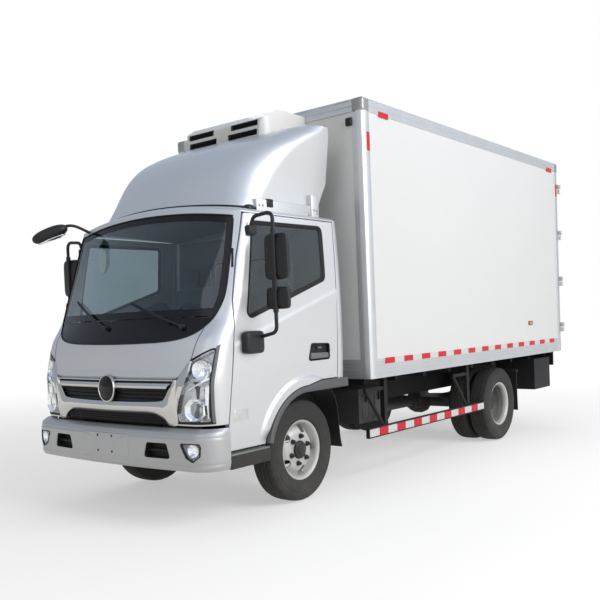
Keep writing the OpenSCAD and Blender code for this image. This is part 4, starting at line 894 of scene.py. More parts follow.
# depth from and to, height from and to, reach across
BRACKETS = [(-0.345, 0.300, 2.138, 2.246, 0.820), (0.292, 0.388, 2.150, 2.330, 0.832)]
brackets, bolts, dark_bits = [], [], []
for out in (1, -1):
    for d0, d1, low, high, reach in BRACKETS:
        y0, y1 = AXLE_Y + d0, AXLE_Y + d1
        brackets.append(block((0.742, reach), (y0, y1), (low, high), 0.008, out=out))
        places = [(y0 + 0.030, low + 0.060), (y0 + 0.066, low + 0.060), (y1 - 0.030, low + 0.034)]
        bolts += [turned(BOLT_HEAD * (1, out), (out * reach, y, z), 12) for y, z in places]
    dark_bits.append(block((0.748, 0.818), (AXLE_Y - 0.430, AXLE_Y - 0.355), (2.135, 2.200), 0.026, 6, out))
    dark_bits.append(block((0.800, 0.828), (AXLE_Y - 0.235, AXLE_Y - 0.165), (2.190, 2.252), 0.008, out=out))
piece("deflector_brackets", "cab", "paint_silver", pearl_silver, *brackets, crease=40)
zinc_bolt = make_finish("zinc_bolt", (0.45, 0.45, 0.44), 0.35, uneven=0.2, patch=60, metallic=1.0)
piece("deflector_bolts", "cab", "steel_dark", zinc_bolt, *bolts)
smoked_lens = make_finish("smoked_lens", (0.020, 0.016, 0.016), 0.15, uneven=0.2, patch=40, specular_ior_level=0.35)
piece("roof_side_lamps", "cab", "plastic_black", smoked_lens, *dark_bits, crease=50)

# Windscreen: one curved sheet of green-grey laminated glass, glued into the nose. A black ceramic border hides
# the glue, and a gloss black cover below it carries the two wipers.


def resampled(outline, count, closed=True):
    """Points evenly spaced along an outline."""
    p = np.asarray(outline, float)
    p = np.vstack([p, p[:1]]) if closed else p
    run = np.concatenate([[0], np.cumsum(np.linalg.norm(np.diff(p, axis=0), axis=1))])
    at = np.linspace(0, run[-1], count, endpoint=not closed)
    return np.stack([np.interp(at, run, p[:, c]) for c in range(p.shape[1])], 1)


def offset(outline, inward):
    """Closed outline moved sideways by a distance along its normals; positive goes inwards."""
    along = np.roll(outline, -1, 0) - np.roll(outline, 1, 0)
    along /= np.linalg.norm(along, axis=1, keepdims=True)
    area = np.sum(outline[:, 0] * np.roll(outline[:, 1], -1) - np.roll(outline[:, 0], -1) * outline[:, 1])
    return outline + np.sign(area) * inward * np.stack([-along[:, 1], along[:, 0]], 1)


def on_nose(flat, out, table=NOSE):
    """Points off the nose's skin: flat columns are x and z, out is the distance ahead of it."""
    x, z = flat[..., 0], flat[..., 1]
    return xyz(x, AXLE_Y + nose_depth(x, z, table) - out, z)


def drawn_in(outline, centre, profile):
    """Rings of an outline drawn in towards a centre, and how far off each stands: profile rows are the share of
    the outline and the distance ahead of the skin."""
    centre, profile = np.asarray(centre, float), np.asarray(profile, float)
    return centre + (outline - centre)[None] * profile[:, :1, None], profile[:, 1:]


def dish(outline, centre, profile, table=NOSE):
    """Closed surface on the nose whose rings are an outline drawn in towards its centre."""
    return shell(on_nose(*drawn_in(outline, centre, profile), table), wrap_v=True)


def pane(outer, inner, shares=14):
    """Profile of a pane of even thickness for dish: out along the front and back along the rear."""
    s = np.linspace(0, 1, shares)
    return [(t, outer) for t in s] + [(t, inner) for t in s[::-1]]


def hoop(rows):
    """Closed hoop through rings of points, the last one joined to the first."""
    return shell(np.stack(rows), wrap_u=True, wrap_v=True)


def rim(outline, width, outer, inner, table=NOSE):
    """Flat ring inside an outline, of even width, between two distances ahead of the skin."""
    within = offset(outline, width)
    rows = ((outline, inner), (outline, outer), ((outline + within) / 2, outer), (within, outer), (within, inner))
    return hoop([on_nose(line, off, table) for line, off in rows])


SCREEN_LOW = 1.412
edge = resampled(offset(resampled(SCREEN, 240), 0.004), 240)
glass_edge, cover_edge = (resampled(np.stack([edge[:, 0], kept(edge[:, 1], z)], 1), 240)
                          for kept, z in ((np.maximum, SCREEN_LOW + 0.003), (np.minimum, SCREEN_LOW - 0.003)))


def glass_finish(name, tint, ripple):
    """Tinted glass: see-through, with a faint uneven film of dust that dulls it in patches. Shadow rays pass it."""
    material, tree = new_material(name)
    tone = add(tree, mottle, color=(*tint, 1), scale=3.0, amount=0.10).outputs
    shader = add(tree, "BsdfPrincipled", transmission_weight=1.0, metallic=0.0, ior=1.45, base_color=tone["Color"],
                 roughness=math_node(tree, "MULTIPLY", tone["Value"], ripple))
    clear = add(tree, "BsdfTransparent", color=(*tint, 1))
    choice = add(tree, "MixShader")
    shadow = add(tree, "LightPath").outputs["Is Shadow Ray"]
    for socket, source in zip(choice.inputs, (shadow, shader.outputs[0], clear.outputs[0])):
        feed(tree, socket, source)
    surface(tree, choice)
    return material


screen_glass = glass_finish("screen_glass", (0.50, 0.58, 0.61), 0.002)
piece("windscreen_glass", "cab", "glass_tinted", screen_glass, dish(glass_edge, (0, 1.76), pane(-0.003, -0.009)),
      crease=40, stands_for=["windscreen"])
gloss_black = make_finish("gloss_black", (0.010, 0.011, 0.013), 0.12, uneven=0.2, patch=6, bump=0.01,
                          gloss_swing=0.06, specular_ior_level=0.22)
piece("windscreen_border", "cab", "plastic_black", gloss_black, rim(glass_edge, 0.050, -0.0022, -0.0032), crease=50)
piece("wiper_cover", "cab", "plastic_black", gloss_black, dish(cover_edge, (0, 1.33), pane(-0.002, -0.024)),
      crease=40, stands_for=["cowl_panel"])

# rubber seal between the screen's edge and the skin
rubber = make_finish("rubber_seal", (0.014, 0.014, 0.014), 0.62, uneven=0.2, patch=30, grain_size=500, bump=0.12,
                     specular_ior_level=0.25)
seal_rows = [on_nose(offset(resampled(SCREEN, 240), 0.003 + aside), 0.001 + ahead)
             for ahead, aside in circle(8, 0.005, 0.005)]
piece("windscreen_seal", "cab", "plastic_black", rubber, hoop(seal_rows), crease=60)

# Wipers: pressed steel arms in satin black on two pivots in the cover. Each holds a rubber blade by a stiff back
# that lies along it.


def tube(path, radius, turns=10, flat=1.0):
    """Round or oval bar along a path, closed at both ends: rings square to the path's direction. flat squeezes it
    along the ring's second direction."""
    path = np.asarray(path, float)
    along = np.gradient(path, axis=0)
    along /= np.linalg.norm(along, axis=1, keepdims=True)
    guide = np.array([0, 0, 1.0]) if np.abs(along[:, 2]).max() < 0.95 else np.array([0.31, 0.95, 0.05])
    first = np.cross(along, guide)
    first /= np.linalg.norm(first, axis=1, keepdims=True)
    second = np.cross(along, first) * flat
    a = np.linspace(0, 2 * np.pi, turns, endpoint=False)[:, None]
    radius = np.broadcast_to(radius, len(path))[:, None, None]
    return shell(path[:, None] + radius * (np.cos(a) * first[:, None] + np.sin(a) * second[:, None]),
                 wrap_v=True, cap=True)


# pivot x and z, arm tip
WIPERS = np.array([[(0.632, 1.350), (0.164, 1.521)], [(-0.105, 1.360), (-0.575, 1.560)]])
arms, blades = [], []
for pivot, tip in WIPERS:
    line = np.linspace(0, 1, 16)[:, None]
    path = pivot + (tip - pivot) * np.linspace(0.24, 1.10, 40)[:, None] - (0, 0.012)
    arms.append(tube(on_nose(pivot + (tip - pivot) * line, 0.020 + 0.012 * np.sin(np.pi * line[:, 0])),
                     np.linspace(0.011, 0.006, 16), flat=0.6))
    arms.append(tube(on_nose(pivot + np.zeros((6, 2)), np.linspace(-0.004, 0.030, 6)), 0.017))
    arms.append(tube(on_nose(path[4:-4], 0.026), 0.006, flat=0.8))
    blades.append(tube(on_nose(path, 0.016), 0.0075, flat=1.4))
satin_black = make_finish("satin_black", (0.020, 0.020, 0.021), 0.42, uneven=0.2, patch=20, grain_size=300,
                          bump=0.08, specular_ior_level=0.3)
piece("wiper_arms", "cab", "plastic_black", satin_black, *arms, crease=50)
piece("wiper_blades", "cab", "plastic_black", rubber, *blades, crease=50)

# Foot of the deflector: a black rubber bead along the lower edge of the moulding, round its front and sides.
# It closes the gap to the roof.
deflect_foot = deflect_grid(-0.005)[0] + (0, 0, 0.010)
piece("deflector_bead", "cab", "plastic_black", rubber, tube(deflect_foot, 0.014, 12), crease=60)

# Grille: two black moulded openings behind bright bands. A bar crosses above the upper slats, and a wide bright
# band sags below them and climbs to each lamp. All are clipped to the nose from behind.


def relief(edge_a, edge_b, heights, under, count=72):
    """Moulding on the nose between two edges, smooth through their knots: across it the distance ahead of the
    skin follows the heights, and its back lies at one distance."""
    a, b = (smooth_line(e, count)[:, None] for e in (edge_a, edge_b))
    v = np.linspace(0, 1, len(heights))[None, :, None]
    flat = a * (1 - v) + b * v
    return sheet(on_nose(flat, np.asarray(heights)[None]), on_nose(flat, under))


def mirrored(knots):
    """Knots of the left half from the middle out, and their mirror, from the right side to the left."""
    knots = np.asarray(knots, float)
    return np.concatenate([knots[::-1] * (-1, 1), knots[1:]])


def bar_line(half, z):
    """Knots of a level line across the nose."""
    return mirrored([(0, z), (half, z)])


def crown(height, edge, power=2.0):
    """Heights across a moulding: the edge height at both sides, bulging to the full height between."""
    return edge + (height - edge) * (1 - np.abs(np.linspace(-1, 1, 11)) ** power)


BAND_TOP = [(0, 0.838), (0.25, 0.840), (0.44, 0.845), (0.53, 0.853), (0.552, 0.866), (0.575, 0.895), (0.600, 0.935),
            (0.640, 0.996)]
BAND_LOW = [(0, 0.768), (0.25, 0.770), (0.44, 0.767), (0.535, 0.733), (0.585, 0.690), (0.655, 0.696), (0.664, 0.800),
            (0.668, 0.996)]
# upper bar: half width and height along its top and its foot, bulge
BARS = [(0.640, 0.998, 0.630, 0.985, 0.007), (0.622, 0.974, 0.574, 0.930, 0.014)]
bright_trim = make_finish("bright_trim", (0.55, 0.54, 0.515), 0.13, uneven=0.05, patch=5, dusty=0.1, bump=0.01,
                          metallic=1.0)
bands = [relief(mirrored(BAND_TOP), mirrored(BAND_LOW), crown(0.016, 0.002, 2.6), -0.020, 150)]
bands += [relief(bar_line(*bar[:2]), bar_line(*bar[2:4]), crown(bar[4], 0.0), -0.020) for bar in BARS]
piece("grille_bright_bands", "cab", "aluminium", bright_trim, *bands, crease=40, stands_for=["grille"])

moulded_black = make_finish("moulded_black", (0.016, 0.016, 0.017), 0.50, uneven=0.25, patch=14, dusty=0.04,
                            grain_size=420, bump=0.15, specular_ior_level=0.25)
grille_edge = resampled(np.maximum(offset(resampled(GRILLE, 160), 0.002), (-9, PANEL_Z + 0.002)), 160)
dark_parts = [dish(grille_edge, (0, 0.88), pane(-0.024, -0.038, 10))]
# slats: half width, height of the upper edge, drop to the lower one, distances ahead of the skin across them
SLATS = [(half, z, 0.006, (out - 0.006, out, out - 0.002, out - 0.010))
         for half, z, out in ((0.545, 0.866, -0.006), (0.565, 0.892, -0.005), (0.585, 0.917, -0.004))]
SLATS += [(0.520, z, 0.004, (-0.018, -0.012, -0.014, -0.022)) for z in (0.700, 0.716, 0.732, 0.748)]
SLATS += [(half, z, 0.008, (-0.008, -0.006, -0.008)) for half, z in ((0.618, 0.980), (0.600, 0.926))]
dark_parts += [relief(bar_line(half, z), bar_line(half, z - drop), heights, -0.030, 48)
               for half, z, drop, heights in SLATS]
piece("grille_slats", "cab", "plastic_black", moulded_black, *dark_parts, crease=40)
hood_foot = relief(bar_line(0.700, 1.062), bar_line(0.664, 1.000), [-0.001, 0.0006, 0.0006, 0.0, -0.012], -0.026, 60)
piece("hood_foot", "cab", "paint_silver", pearl_silver, hood_foot, crease=40)

# plain oval boss in the middle of the bar: a bright ring round a bare dark dome
BOSS_MID = (0, 0.930)
boss_edge = circle(64, 0.090, 0.098, BOSS_MID)
RING = [(1.0, 0.002), (1.0, 0.017), (0.97, 0.022), (0.91, 0.022), (0.88, 0.016), (0.88, 0.002)]
DOME = [(0, 0.022), (0.3, 0.0215), (0.6, 0.0195), (0.8, 0.0165), (0.885, 0.013), (0.885, 0.003), (0.0, 0.003)]
piece("grille_boss_ring", "cab", "aluminium", bright_trim, hoop(on_nose(*drawn_in(boss_edge, BOSS_MID, RING))),
      crease=40)
piece("grille_boss", "cab", "plastic_black", gloss_black, dish(boss_edge, BOSS_MID, DOME), crease=50)

# seams: a dark line down each side of the front panel, and a short slot beside the screen
HOOD_SEAM = np.array([(0.800, 1.330), (0.779, 1.220), (0.759, 1.120), (0.720, 1.058), (0.655, 0.996)])
SLOT = np.array([(0.866, 1.868), (0.876, 1.805), (0.886, 1.737)])
seams = []
for s in (1, -1):
    seams.append(relief(HOOD_SEAM * (s, 1), (HOOD_SEAM - (0.005, 0)) * (s, 1), [0.0007, 0.0009, 0.0007], -0.004, 40))
    seams.append(relief(SLOT * (s, 1), (SLOT + (0.014, 0)) * (s, 1), [0.0, 0.004, 0.004, 0.0], -0.010, 24))
piece("hood_seams", "cab", "plastic_black", rubber, *seams)

# Headlamps: a bright moulded housing with mirrored reflectors, a bowl above and a round projector below, split by
# a slanting strip and covered by one clear lens that follows the nose.
LENS_MID = np.array([0.806, 0.930])
LENS = [(0.674, 0.713), (0.898, 0.713), (0.917, 1.196), (0.772, 1.118), (0.738, 0.998), (0.662, 0.800)]
lens_edge = resampled(rounded(LENS, 0.014), 120)
lamp_edge = resampled(offset(resampled(LAMP, 160), 0.002), 160)
lamp_lens = glass_finish("lamp_lens", (0.98, 0.98, 0.98), 0.01)
projector_glass = glass_finish("projector_glass", (0.86, 0.90, 0.92), 0.02)
lamp_mirror = make_finish("lamp_mirror", (0.86, 0.87, 0.88), 0.10, uneven=0.06, patch=30, bump=0.02, metallic=1.0)
lamp_shell = make_finish("lamp_shell", (0.74, 0.75, 0.77), 0.28, uneven=0.1, patch=20, metallic=0.25)
grey_strip = make_finish("grey_strip", (0.17, 0.175, 0.18), 0.45, uneven=0.12, patch=15, grain_size=350, bump=0.08)


def reflector(x, z, profile, count=48, sides=None, turn=0.0):
    """Bowl or bezel about an axis ahead: profile rows are radius and distance ahead of the skin at its middle.
    With sides given, the rings are polygons instead of circles."""
    radius, ahead = (np.array(profile)[:, c:c + 1] for c in (0, 1))
    a = np.linspace(0, 2 * np.pi, count, endpoint=False)
    if sides:
        radius = radius * np.cos(np.pi / sides) / np.cos((a + turn) % (2 * np.pi / sides) - np.pi / sides)
    slope = (nose_depth(x + 0.03, z) - nose_depth(x - 0.03, z)) / 0.06
    aside = radius * np.cos(a)
    return shell(xyz(x + aside, AXLE_Y + nose_depth(x, z) - ahead + 0.8 * slope * aside, z + radius * np.sin(a)),
                 wrap_v=True)


# profiles: share of the lens or radius, distance ahead of the skin
BASIN = [(1.0, -0.002), (0.985, -0.002), (0.955, -0.050), (0.90, -0.058), (0.6, -0.060), (0.3, -0.060),
         (0.0, -0.060), (0.0, -0.066), (0.92, -0.066), (0.985, -0.030), (1.0, -0.012)]
BOWL = [(0.0, -0.050), (0.020, -0.048), (0.045, -0.036), (0.064, -0.020), (0.068, -0.016), (0.069, -0.026),
        (0.0, -0.058)]
BULB = [(0.0, -0.020), (0.010, -0.022), (0.014, -0.030), (0.014, -0.050), (0.0, -0.050)]
PROJECTOR = [(0.0, -0.016), (0.020, -0.018), (0.038, -0.027), (0.048, -0.038), (0.048, -0.050), (0.0, -0.050)]
BEZEL = [(0.050, -0.036), (0.066, -0.016), (0.078, -0.011), (0.082, -0.015), (0.082, -0.054), (0.050, -0.054),
         (0.050, -0.036)]
BOWL_AT, PROJECTOR_AT = (0.838, 1.058), (0.796, 0.794)
# mouldings: knots of one edge and of the other
STRIP = np.linspace([(0.745, 0.936), (0.743, 0.912)], [(0.912, 1.024), (0.910, 0.996)], 5, axis=1)
WING = [[(0.876, 0.74), (0.884, 0.86), (0.892, 0.955)], [(0.862, 0.74), (0.846, 0.86), (0.846, 0.930)]]
FILLET = [[(0.632, 0.875), (0.668, 1.010), (0.738, 1.112)], [(0.694, 0.875), (0.744, 0.998), (0.776, 1.120)]]
LAMP_FOOT = [[(0.640, 0.700), (0.790, 0.700), (0.908, 0.700)], [(0.640, 0.716), (0.790, 0.718), (0.908, 0.718)]]
OUTER_STRIP = [[(0.910, 0.704), (0.921, 0.95), (0.931, 1.222)], [(0.897, 0.704), (0.908, 0.95), (0.917, 1.212)]]
trays, bright, lenses, edges, beads, fillets, grey_bits = [], [], [], [], [], [], []
for s in (1, -1):
    strip_lines, wing, fillet, foot, outer = (np.array(knots) * (s, 1)
                                              for knots in (STRIP, WING, FILLET, LAMP_FOOT, OUTER_STRIP))
    bowl_x, projector_x = s * BOWL_AT[0], s * PROJECTOR_AT[0]
    trays.append(dish(lens_edge * (s, 1), LENS_MID * (s, 1), BASIN))
    lenses.append(dish(lens_edge * (s, 1), LENS_MID * (s, 1), pane(0.001, -0.003, 12)))
    bright.append(reflector(bowl_x, BOWL_AT[1], BOWL))
    bright.append(reflector(projector_x, PROJECTOR_AT[1], BEZEL, sides=8, turn=0.4))
    bright.append(relief(*strip_lines, [-0.030, -0.016, -0.014, -0.018, -0.040], -0.052, 24))
    bright.append(relief(*wing, [-0.020, -0.022, -0.045], -0.055, 24))
    beads.append(reflector(projector_x, PROJECTOR_AT[1], PROJECTOR))
    beads.append(reflector(bowl_x, BOWL_AT[1], BULB, 20))
    fillets.append(relief(*fillet, [-0.002, 0.010, 0.011, 0.008], -0.030, 40))
    edges.append(rim(lamp_edge * (s, 1), 0.010, 0.0015, -0.030))
    edges.append(relief(*foot, [0.0, 0.004, 0.0], -0.030, 30))
    grey_bits.append(relief(*outer, [0.0, 0.003, 0.003, 0.001], -0.020, 40))
piece("headlamp_housings", "cab", "plastic_black", lamp_shell, *trays, crease=35, stands_for=["headlamps"])
piece("headlamp_reflectors", "cab", "lamp_clear", lamp_mirror, *bright, crease=30)
piece("headlamp_lenses", "cab", "lamp_clear", lamp_lens, *lenses, crease=45)
piece("headlamp_projectors", "cab", "lamp_clear", projector_glass, *beads, crease=50)
piece("headlamp_edges", "cab", "plastic_black", moulded_black, *edges, crease=40)
piece("headlamp_fillets", "cab", "aluminium", bright_trim, *fillets, crease=40)
piece("headlamp_outer_strips", "cab", "plastic_grey", grey_strip, *grey_bits, crease=40)

# Bumper: a deep pressed steel beam in champagne silver, wrapped round the corners below the nose. It has two
# recesses for towing eyes, a panel with four holes for a plate, and a lamp pocket near each end.
BUMPER = np.array([
    (0.395, 0.026, -0.004, 0.150, 7.0), (0.425, 0.008, -0.014, 0.160, 7.5), (0.480, 0.002, -0.018, 0.165, 8.0),
    (0.600, 0.002, -0.020, 0.165, 8.0), (0.645, 0.020, -0.018, 0.160, 7.5), (0.672, 0.066, -0.010, 0.150, 7.0)])
BUMPER_WALL, BUMPER_END, BUMPER_Y, PLATE_MID = 0.028, 0.272 - OVERHANG, AXLE_Y - OVERHANG, 0.545
FOG = rounded([(0.718, 0.584), (0.878, 0.584), (0.886, 0.560), (0.880, 0.500), (0.826, 0.458), (0.768, 0.486)], 0.012)
TOW = rounded([(0.396, 0.474), (0.636, 0.474), (0.606, 0.578), (0.426, 0.578)], 0.016)
bumper_z = np.concatenate([np.linspace(0.395, 0.60, 34), np.linspace(0.60, 0.672, 20)[1:]])


def bumper_grid(inset, depth):
    """Bumper skin by height, with a shallow groove above the lower lip and one below the upper lip."""
    points = nose_grid(BUMPER, bumper_z, inset, BUMPER_END, 0 * bumper_z, (30, 16, 8))
    z = points[..., 2]
    groove = np.exp(-((z - 0.442) / 0.006) ** 2) + 0.8 * np.exp(-((z - 0.618) / 0.007) ** 2)
    return points + depth * groove[..., None] * xyz(-points[..., 0] * 0.25, 1, 0)


# holes for the plate: half of their spacing across and up, radius
SPACE_X, SPACE_Z, HOLE_R = 0.0775, 0.055, 0.0095
pockets = [through(resampled(line, count) * (s, 1), NOSE_Y - 0.05, BUMPER_Y + 0.30)
           for line, count in ((FOG, 60), (TOW, 48)) for s in (1, -1)]
plate_pins = [through(circle(16, HOLE_R, HOLE_R, (x, PLATE_MID + z)), NOSE_Y - 0.05, BUMPER_Y + 0.12)
              for x in (-SPACE_X, SPACE_X) for z in (-SPACE_Z, SPACE_Z)]
bumper_skin = carve([sheet(bumper_grid(0.0, 0.004), bumper_grid(BUMPER_WALL, 0.0))], pockets + plate_pins)
champagne = silver_finish("champagne_silver", (0.46, 0.455, 0.42), 0.10, 0.25)
piece("bumper_skin", "chassis", "paint_champagne", champagne, bumper_skin, crease=32, stands_for=["front_bumper"])
PLATE = resampled(rounded([(-0.245, 0.464), (0.245, 0.464), (0.245, 0.620), (-0.245, 0.620)], 0.012), 120)
PRESSING = [(0, 0.004), (0.5, 0.004), (0.975, 0.004), (1.0, 0.001), (1.0, -0.010), (0.5, -0.010), (0, -0.010)]
plate_skin = carve([dish(PLATE, (0, PLATE_MID), PRESSING, BUMPER)], plate_pins)
piece("bumper_plate_panel", "chassis", "paint_champagne", champagne, plate_skin, crease=30)

# lining of the pockets: dark trays with a cross bar for towing, and bright ones with a bowl and a lens for the lamps
POCKET = [(1.0, -0.003), (0.97, -0.003), (0.93, -0.060), (0.0, -0.062), (0.0, -0.070), (1.0, -0.070)]
FOG_BOWL = [(0.0, -0.045), (0.3, -0.043), (0.7, -0.030), (0.95, -0.010), (1.0, -0.010), (1.0, -0.030), (0.0, -0.055)]
trays, fog_bowls, fog_glass, fog_trays, stays = [], [], [], [], []
for s in (1, -1):
    tow_edge, fog_edge = (resampled(line, 72) * (s, 1) for line in (TOW, FOG))
    tow_mid, fog_mid, bowl_mid = (s * 0.516, 0.526), (s * 0.815, 0.530), (s * 0.820, 0.535)
    trays.append(dish(tow_edge, tow_mid, POCKET, BUMPER))
    trays.append(tube(on_nose(np.linspace((s * 0.415, 0.522), (s * 0.620, 0.522), 8), -0.040, BUMPER), 0.011))
    trays.append(rim(fog_edge, 0.007, 0.002, -0.020, BUMPER))
    fog_trays.append(dish(fog_edge, fog_mid, POCKET, BUMPER))
    fog_bowls.append(dish(resampled(circle(16, 0.043, 0.043, bowl_mid), 48), bowl_mid, FOG_BOWL, BUMPER))
    fog_glass.append(dish(resampled(offset(fog_edge, 0.006), 72), fog_mid, pane(-0.004, -0.007, 8), BUMPER))
    stays.append(block((0.345, 0.405), (BUMPER_Y + 0.034, AXLE_Y - 0.980), (0.566, 0.626), 0.006, out=s))
piece("bumper_pockets", "chassis", "plastic_black", moulded_black, *trays, crease=35)
piece("fog_lamp_trays", "chassis", "plastic_grey", lamp_shell, *fog_trays, crease=35)
piece("fog_lamp_bowls", "chassis", "lamp_clear", lamp_mirror, *fog_bowls, crease=35, stands_for=["fog_lamps"])
piece("fog_lamp_lenses", "chassis", "lamp_clear", lamp_lens, *fog_glass, crease=45)
piece("bumper_stays", "chassis", "steel_dark", chassis_paint, *stays)

# Door glass and fittings: tinted side glass in a black rubber channel, a grey flap handle in a black moulded tray,
# a round lock, and a small bare plate low on the panel.


def on_door(flat, out, side):
    """Points on a door's skin: flat columns are depth and height, out is the distance off the skin."""
    d, z = flat[..., 0], flat[..., 1]
    x = side_x(z.ravel(), d.ravel()).reshape(z.shape) + door_relief(d, z) + out
    return xyz(side * x, AXLE_Y + d, z)


def door_dish(outline, profile, side, centre=None):
    """As dish, on a door's skin; drawn in to the mean of the outline's points if no centre is given."""
    rings = drawn_in(outline, outline.mean(0) if centre is None else centre, profile)
    return shell(on_door(*rings, side), wrap_v=True)


window_edge = resampled(WINDOW, 160)
pane_edge = resampled(offset(window_edge, 0.003), 160)
flap_edge = resampled(rounded([(0.046, 1.062), (0.280, 1.064), (0.279, 1.106), (0.054, 1.112)], 0.012), 72)
label_edge = resampled(rounded([(-0.800, 0.700), (-0.655, 0.700), (-0.655, 0.775), (-0.800, 0.775)], 0.006), 60)
lock_edge = circle(16, 0.013, 0.013, (0.318, 1.128))
catch_line = np.stack([np.linspace(0.150, 0.200, 6), np.full(6, 1.146)], 1)
# rubber channel: distance in from the window's edge, distance off the skin
CHANNEL = [(0.0, -0.022), (-0.006, 0.0015), (0.004, 0.003), (0.016, -0.006), (0.024, -0.011), (0.024, -0.022)]
TRAY = [(1.0, 0.001), (0.992, 0.005), (0.960, 0.006), (0.935, 0.003), (0.900, -0.020), (0.5, -0.024), (0, -0.024),
        (0, -0.028), (0.93, -0.028), (0.945, -0.002)]
FLAP_TOP = [(0, 0.013), (0.5, 0.0125), (0.85, 0.010), (0.96, 0.005), (1.0, -0.002), (1.0, -0.010), (0.0, -0.010)]
LOCK = [(0, 0.002), (0.7, 0.002), (0.8, 0.004), (1.0, 0.002), (1.0, -0.004), (0, -0.004)]
LABEL = [(0, 0.002), (0.5, 0.002), (0.98, 0.002), (1.0, 0.001), (1.0, -0.002), (0, -0.002)]
grey_handle = make_finish("grey_handle", (0.16, 0.165, 0.17), 0.42, uneven=0.12, patch=20, grain_size=350, bump=0.08)
bare_plate = make_finish("bare_plate", (0.62, 0.62, 0.60), 0.4, uneven=0.15, patch=25, metallic=0.6)
for side_name, out in SIDES:
    body = f"door_{side_name}"
    piece(f"{body}_pane", body, "glass_tinted", screen_glass,
          door_dish(pane_edge, pane(-0.013, -0.018, 9), out, window_edge.mean(0)), crease=40,
          stands_for=[f"door_glass_{side_name}"])
    channel = hoop([on_door(offset(window_edge, inward), off, out) for inward, off in CHANNEL])
    piece(f"{body}_window_channel", body, "plastic_black", rubber, channel, crease=50)
    piece(f"{body}_handle_tray", body, "plastic_black", moulded_black,
          door_dish(resampled(HANDLE, 96), TRAY, out, HANDLE.mean(0)), crease=35)
    piece(f"{body}_handle", body, "plastic_grey", grey_handle, door_dish(flap_edge, FLAP_TOP, out),
          tube(on_door(catch_line, -0.012, out), 0.008, 12), crease=45)
    piece(f"{body}_lock", body, "aluminium", bare_plate, door_dish(lock_edge, LOCK, out),
          door_dish(label_edge, LABEL, out), crease=40)

# Door mirrors: black steel tube bent to a C on two feet, with a tall flat head and a small wide-angle head
# clamped to it. Each head is a moulded shell with a sheet of silvered glass in its back.
ARM_X, ARM_D, ARM_TOP, ARM_LOW, ARM_R = 1.138, -0.560, 1.985, 1.235, 0.013
ARM_Y = AXLE_Y + ARM_D
ARM_BENDS = [(0.930, ARM_TOP), (0.968, ARM_TOP + 0.095), (ARM_X, ARM_TOP + 0.112), (ARM_X, ARM_LOW + 0.050),
             (0.985, ARM_LOW + 0.020)]
# width and height of the head, its foot
HEADS = [(0.190, 0.150, 1.440), (0.200, 0.310, 1.640)]
# feet on the door: width, depth and height, each from and to
FEET = [(0.905, 0.962, -0.592, -0.505, 1.955, 2.025), (0.940, 1.012, -0.715, -0.528, 1.145, 1.300)]


def bent(corners, radius, count, steps=8):
    """Open path with its inner corners rounded, evenly spaced."""
    corners = np.asarray(corners, float)
    arcs = rounded(corners, radius, steps).reshape(len(corners), steps + 1, 2)
    return resampled(np.concatenate([corners[:1], *arcs[1:-1], corners[-1:]]), count, closed=False)


def padded_block(low, high, roundness, crown, rings=28, turns=48):
    """Points of a rounded box from a sphere: each direction is raised to a small power, and the faces bulge by
    the crown along x, y and z where they are far from the edges."""
    low, high, crown = (np.asarray(v, float) for v in (low, high, crown))
    v = np.linspace(-np.pi / 2, np.pi / 2, rings)[:, None]
    u = np.linspace(0, 2 * np.pi, turns, endpoint=False)[None, :]
    cos_v, cos_u, sin_v, sin_u = (np.sign(w) * np.abs(w) ** roundness
                                  for w in (np.cos(v), np.cos(u), np.sin(v), np.sin(u)))
    unit = xyz(cos_v * cos_u, cos_v * sin_u, sin_v)
    rest = 1 - np.clip(np.abs(unit), 0, 1) ** 2
    bulge = rest[..., [1, 0, 0]] * rest[..., [2, 2, 1]]
    return (low + high) / 2 + unit * ((high - low) / 2 - crown) + unit * bulge * crown


def pad(*sizes):
    """Closed shell of a padded block."""
    return shell(padded_block(*sizes), wrap_v=True)


arm = bent(ARM_BENDS, 0.045, 80)
silvered = make_finish("silvered_glass", (0.80, 0.82, 0.84), 0.03, uneven=0.04, patch=6, bump=0.0, gloss_swing=0.03,
                       metallic=1.0)
for side_name, out in SIDES:
    body = f"door_{side_name}"
    parts, plates = [tube(xyz(out * arm[:, 0], ARM_Y, arm[:, 1]), ARM_R, 14)], []
    for x0, x1, d0, d1, z0, z1 in FEET:
        corners = np.sort([(out * x0, AXLE_Y + d0, z0), (out * x1, AXLE_Y + d1, z1)], axis=0)
        parts.append(pad(*corners, 0.34, (0.006, 0.0, 0.0)))
    for wide, tall, foot in HEADS:
        centre = np.array([out * ARM_X, ARM_Y + 0.034, foot + tall / 2])
        size = np.array([wide / 2, 0.031, tall / 2])
        parts.append(pad(centre - size, centre + size, 0.32, (0.0, 0.010, 0.0)))
        parts += [tube(xyz(out * ARM_X, ARM_Y, z + np.linspace(-0.018, 0.018, 4)), 0.019, 16)
                  for z in (foot - 0.004, foot + tall + 0.004)]
        face = np.array([wide / 2 - 0.016, 0.003, tall / 2 - 0.016])
        middle = centre + (0, 0.0285, 0)
        plates.append(pad(middle - face, middle + face, 0.22, 0.0, 12, 40))
    piece(f"mirror_{side_name}_frame", body, "plastic_black", satin_black, *parts, crease=50,
          stands_for=[f"mirror_{side_name}"])
    piece(f"mirror_{side_name}_glass", body, "glass_tinted", silvered, *plates, crease=50)

# Front mirror: a long convex head on a bent arm from the right corner pillar. It shows the ground before the
# nose, so its glass faces down.
FRONT_ARM = [(-0.722, 0.566, 2.120), (-0.735, 0.545, 2.128), (-0.770, 0.400, 2.186), (-0.830, 0.330, 2.182),
             (-0.870, 0.290, 2.156)]
HEAD_AT = np.array([-0.900, AXLE_Y + 0.255 - OVERHANG, ROOF_Z + 0.006])
HEAD_TILT, HEAD_SWING = np.radians(-20), np.radians(40)
front_arm = smooth_line(FRONT_ARM, 40) + (0, AXLE_Y - OVERHANG, 0)


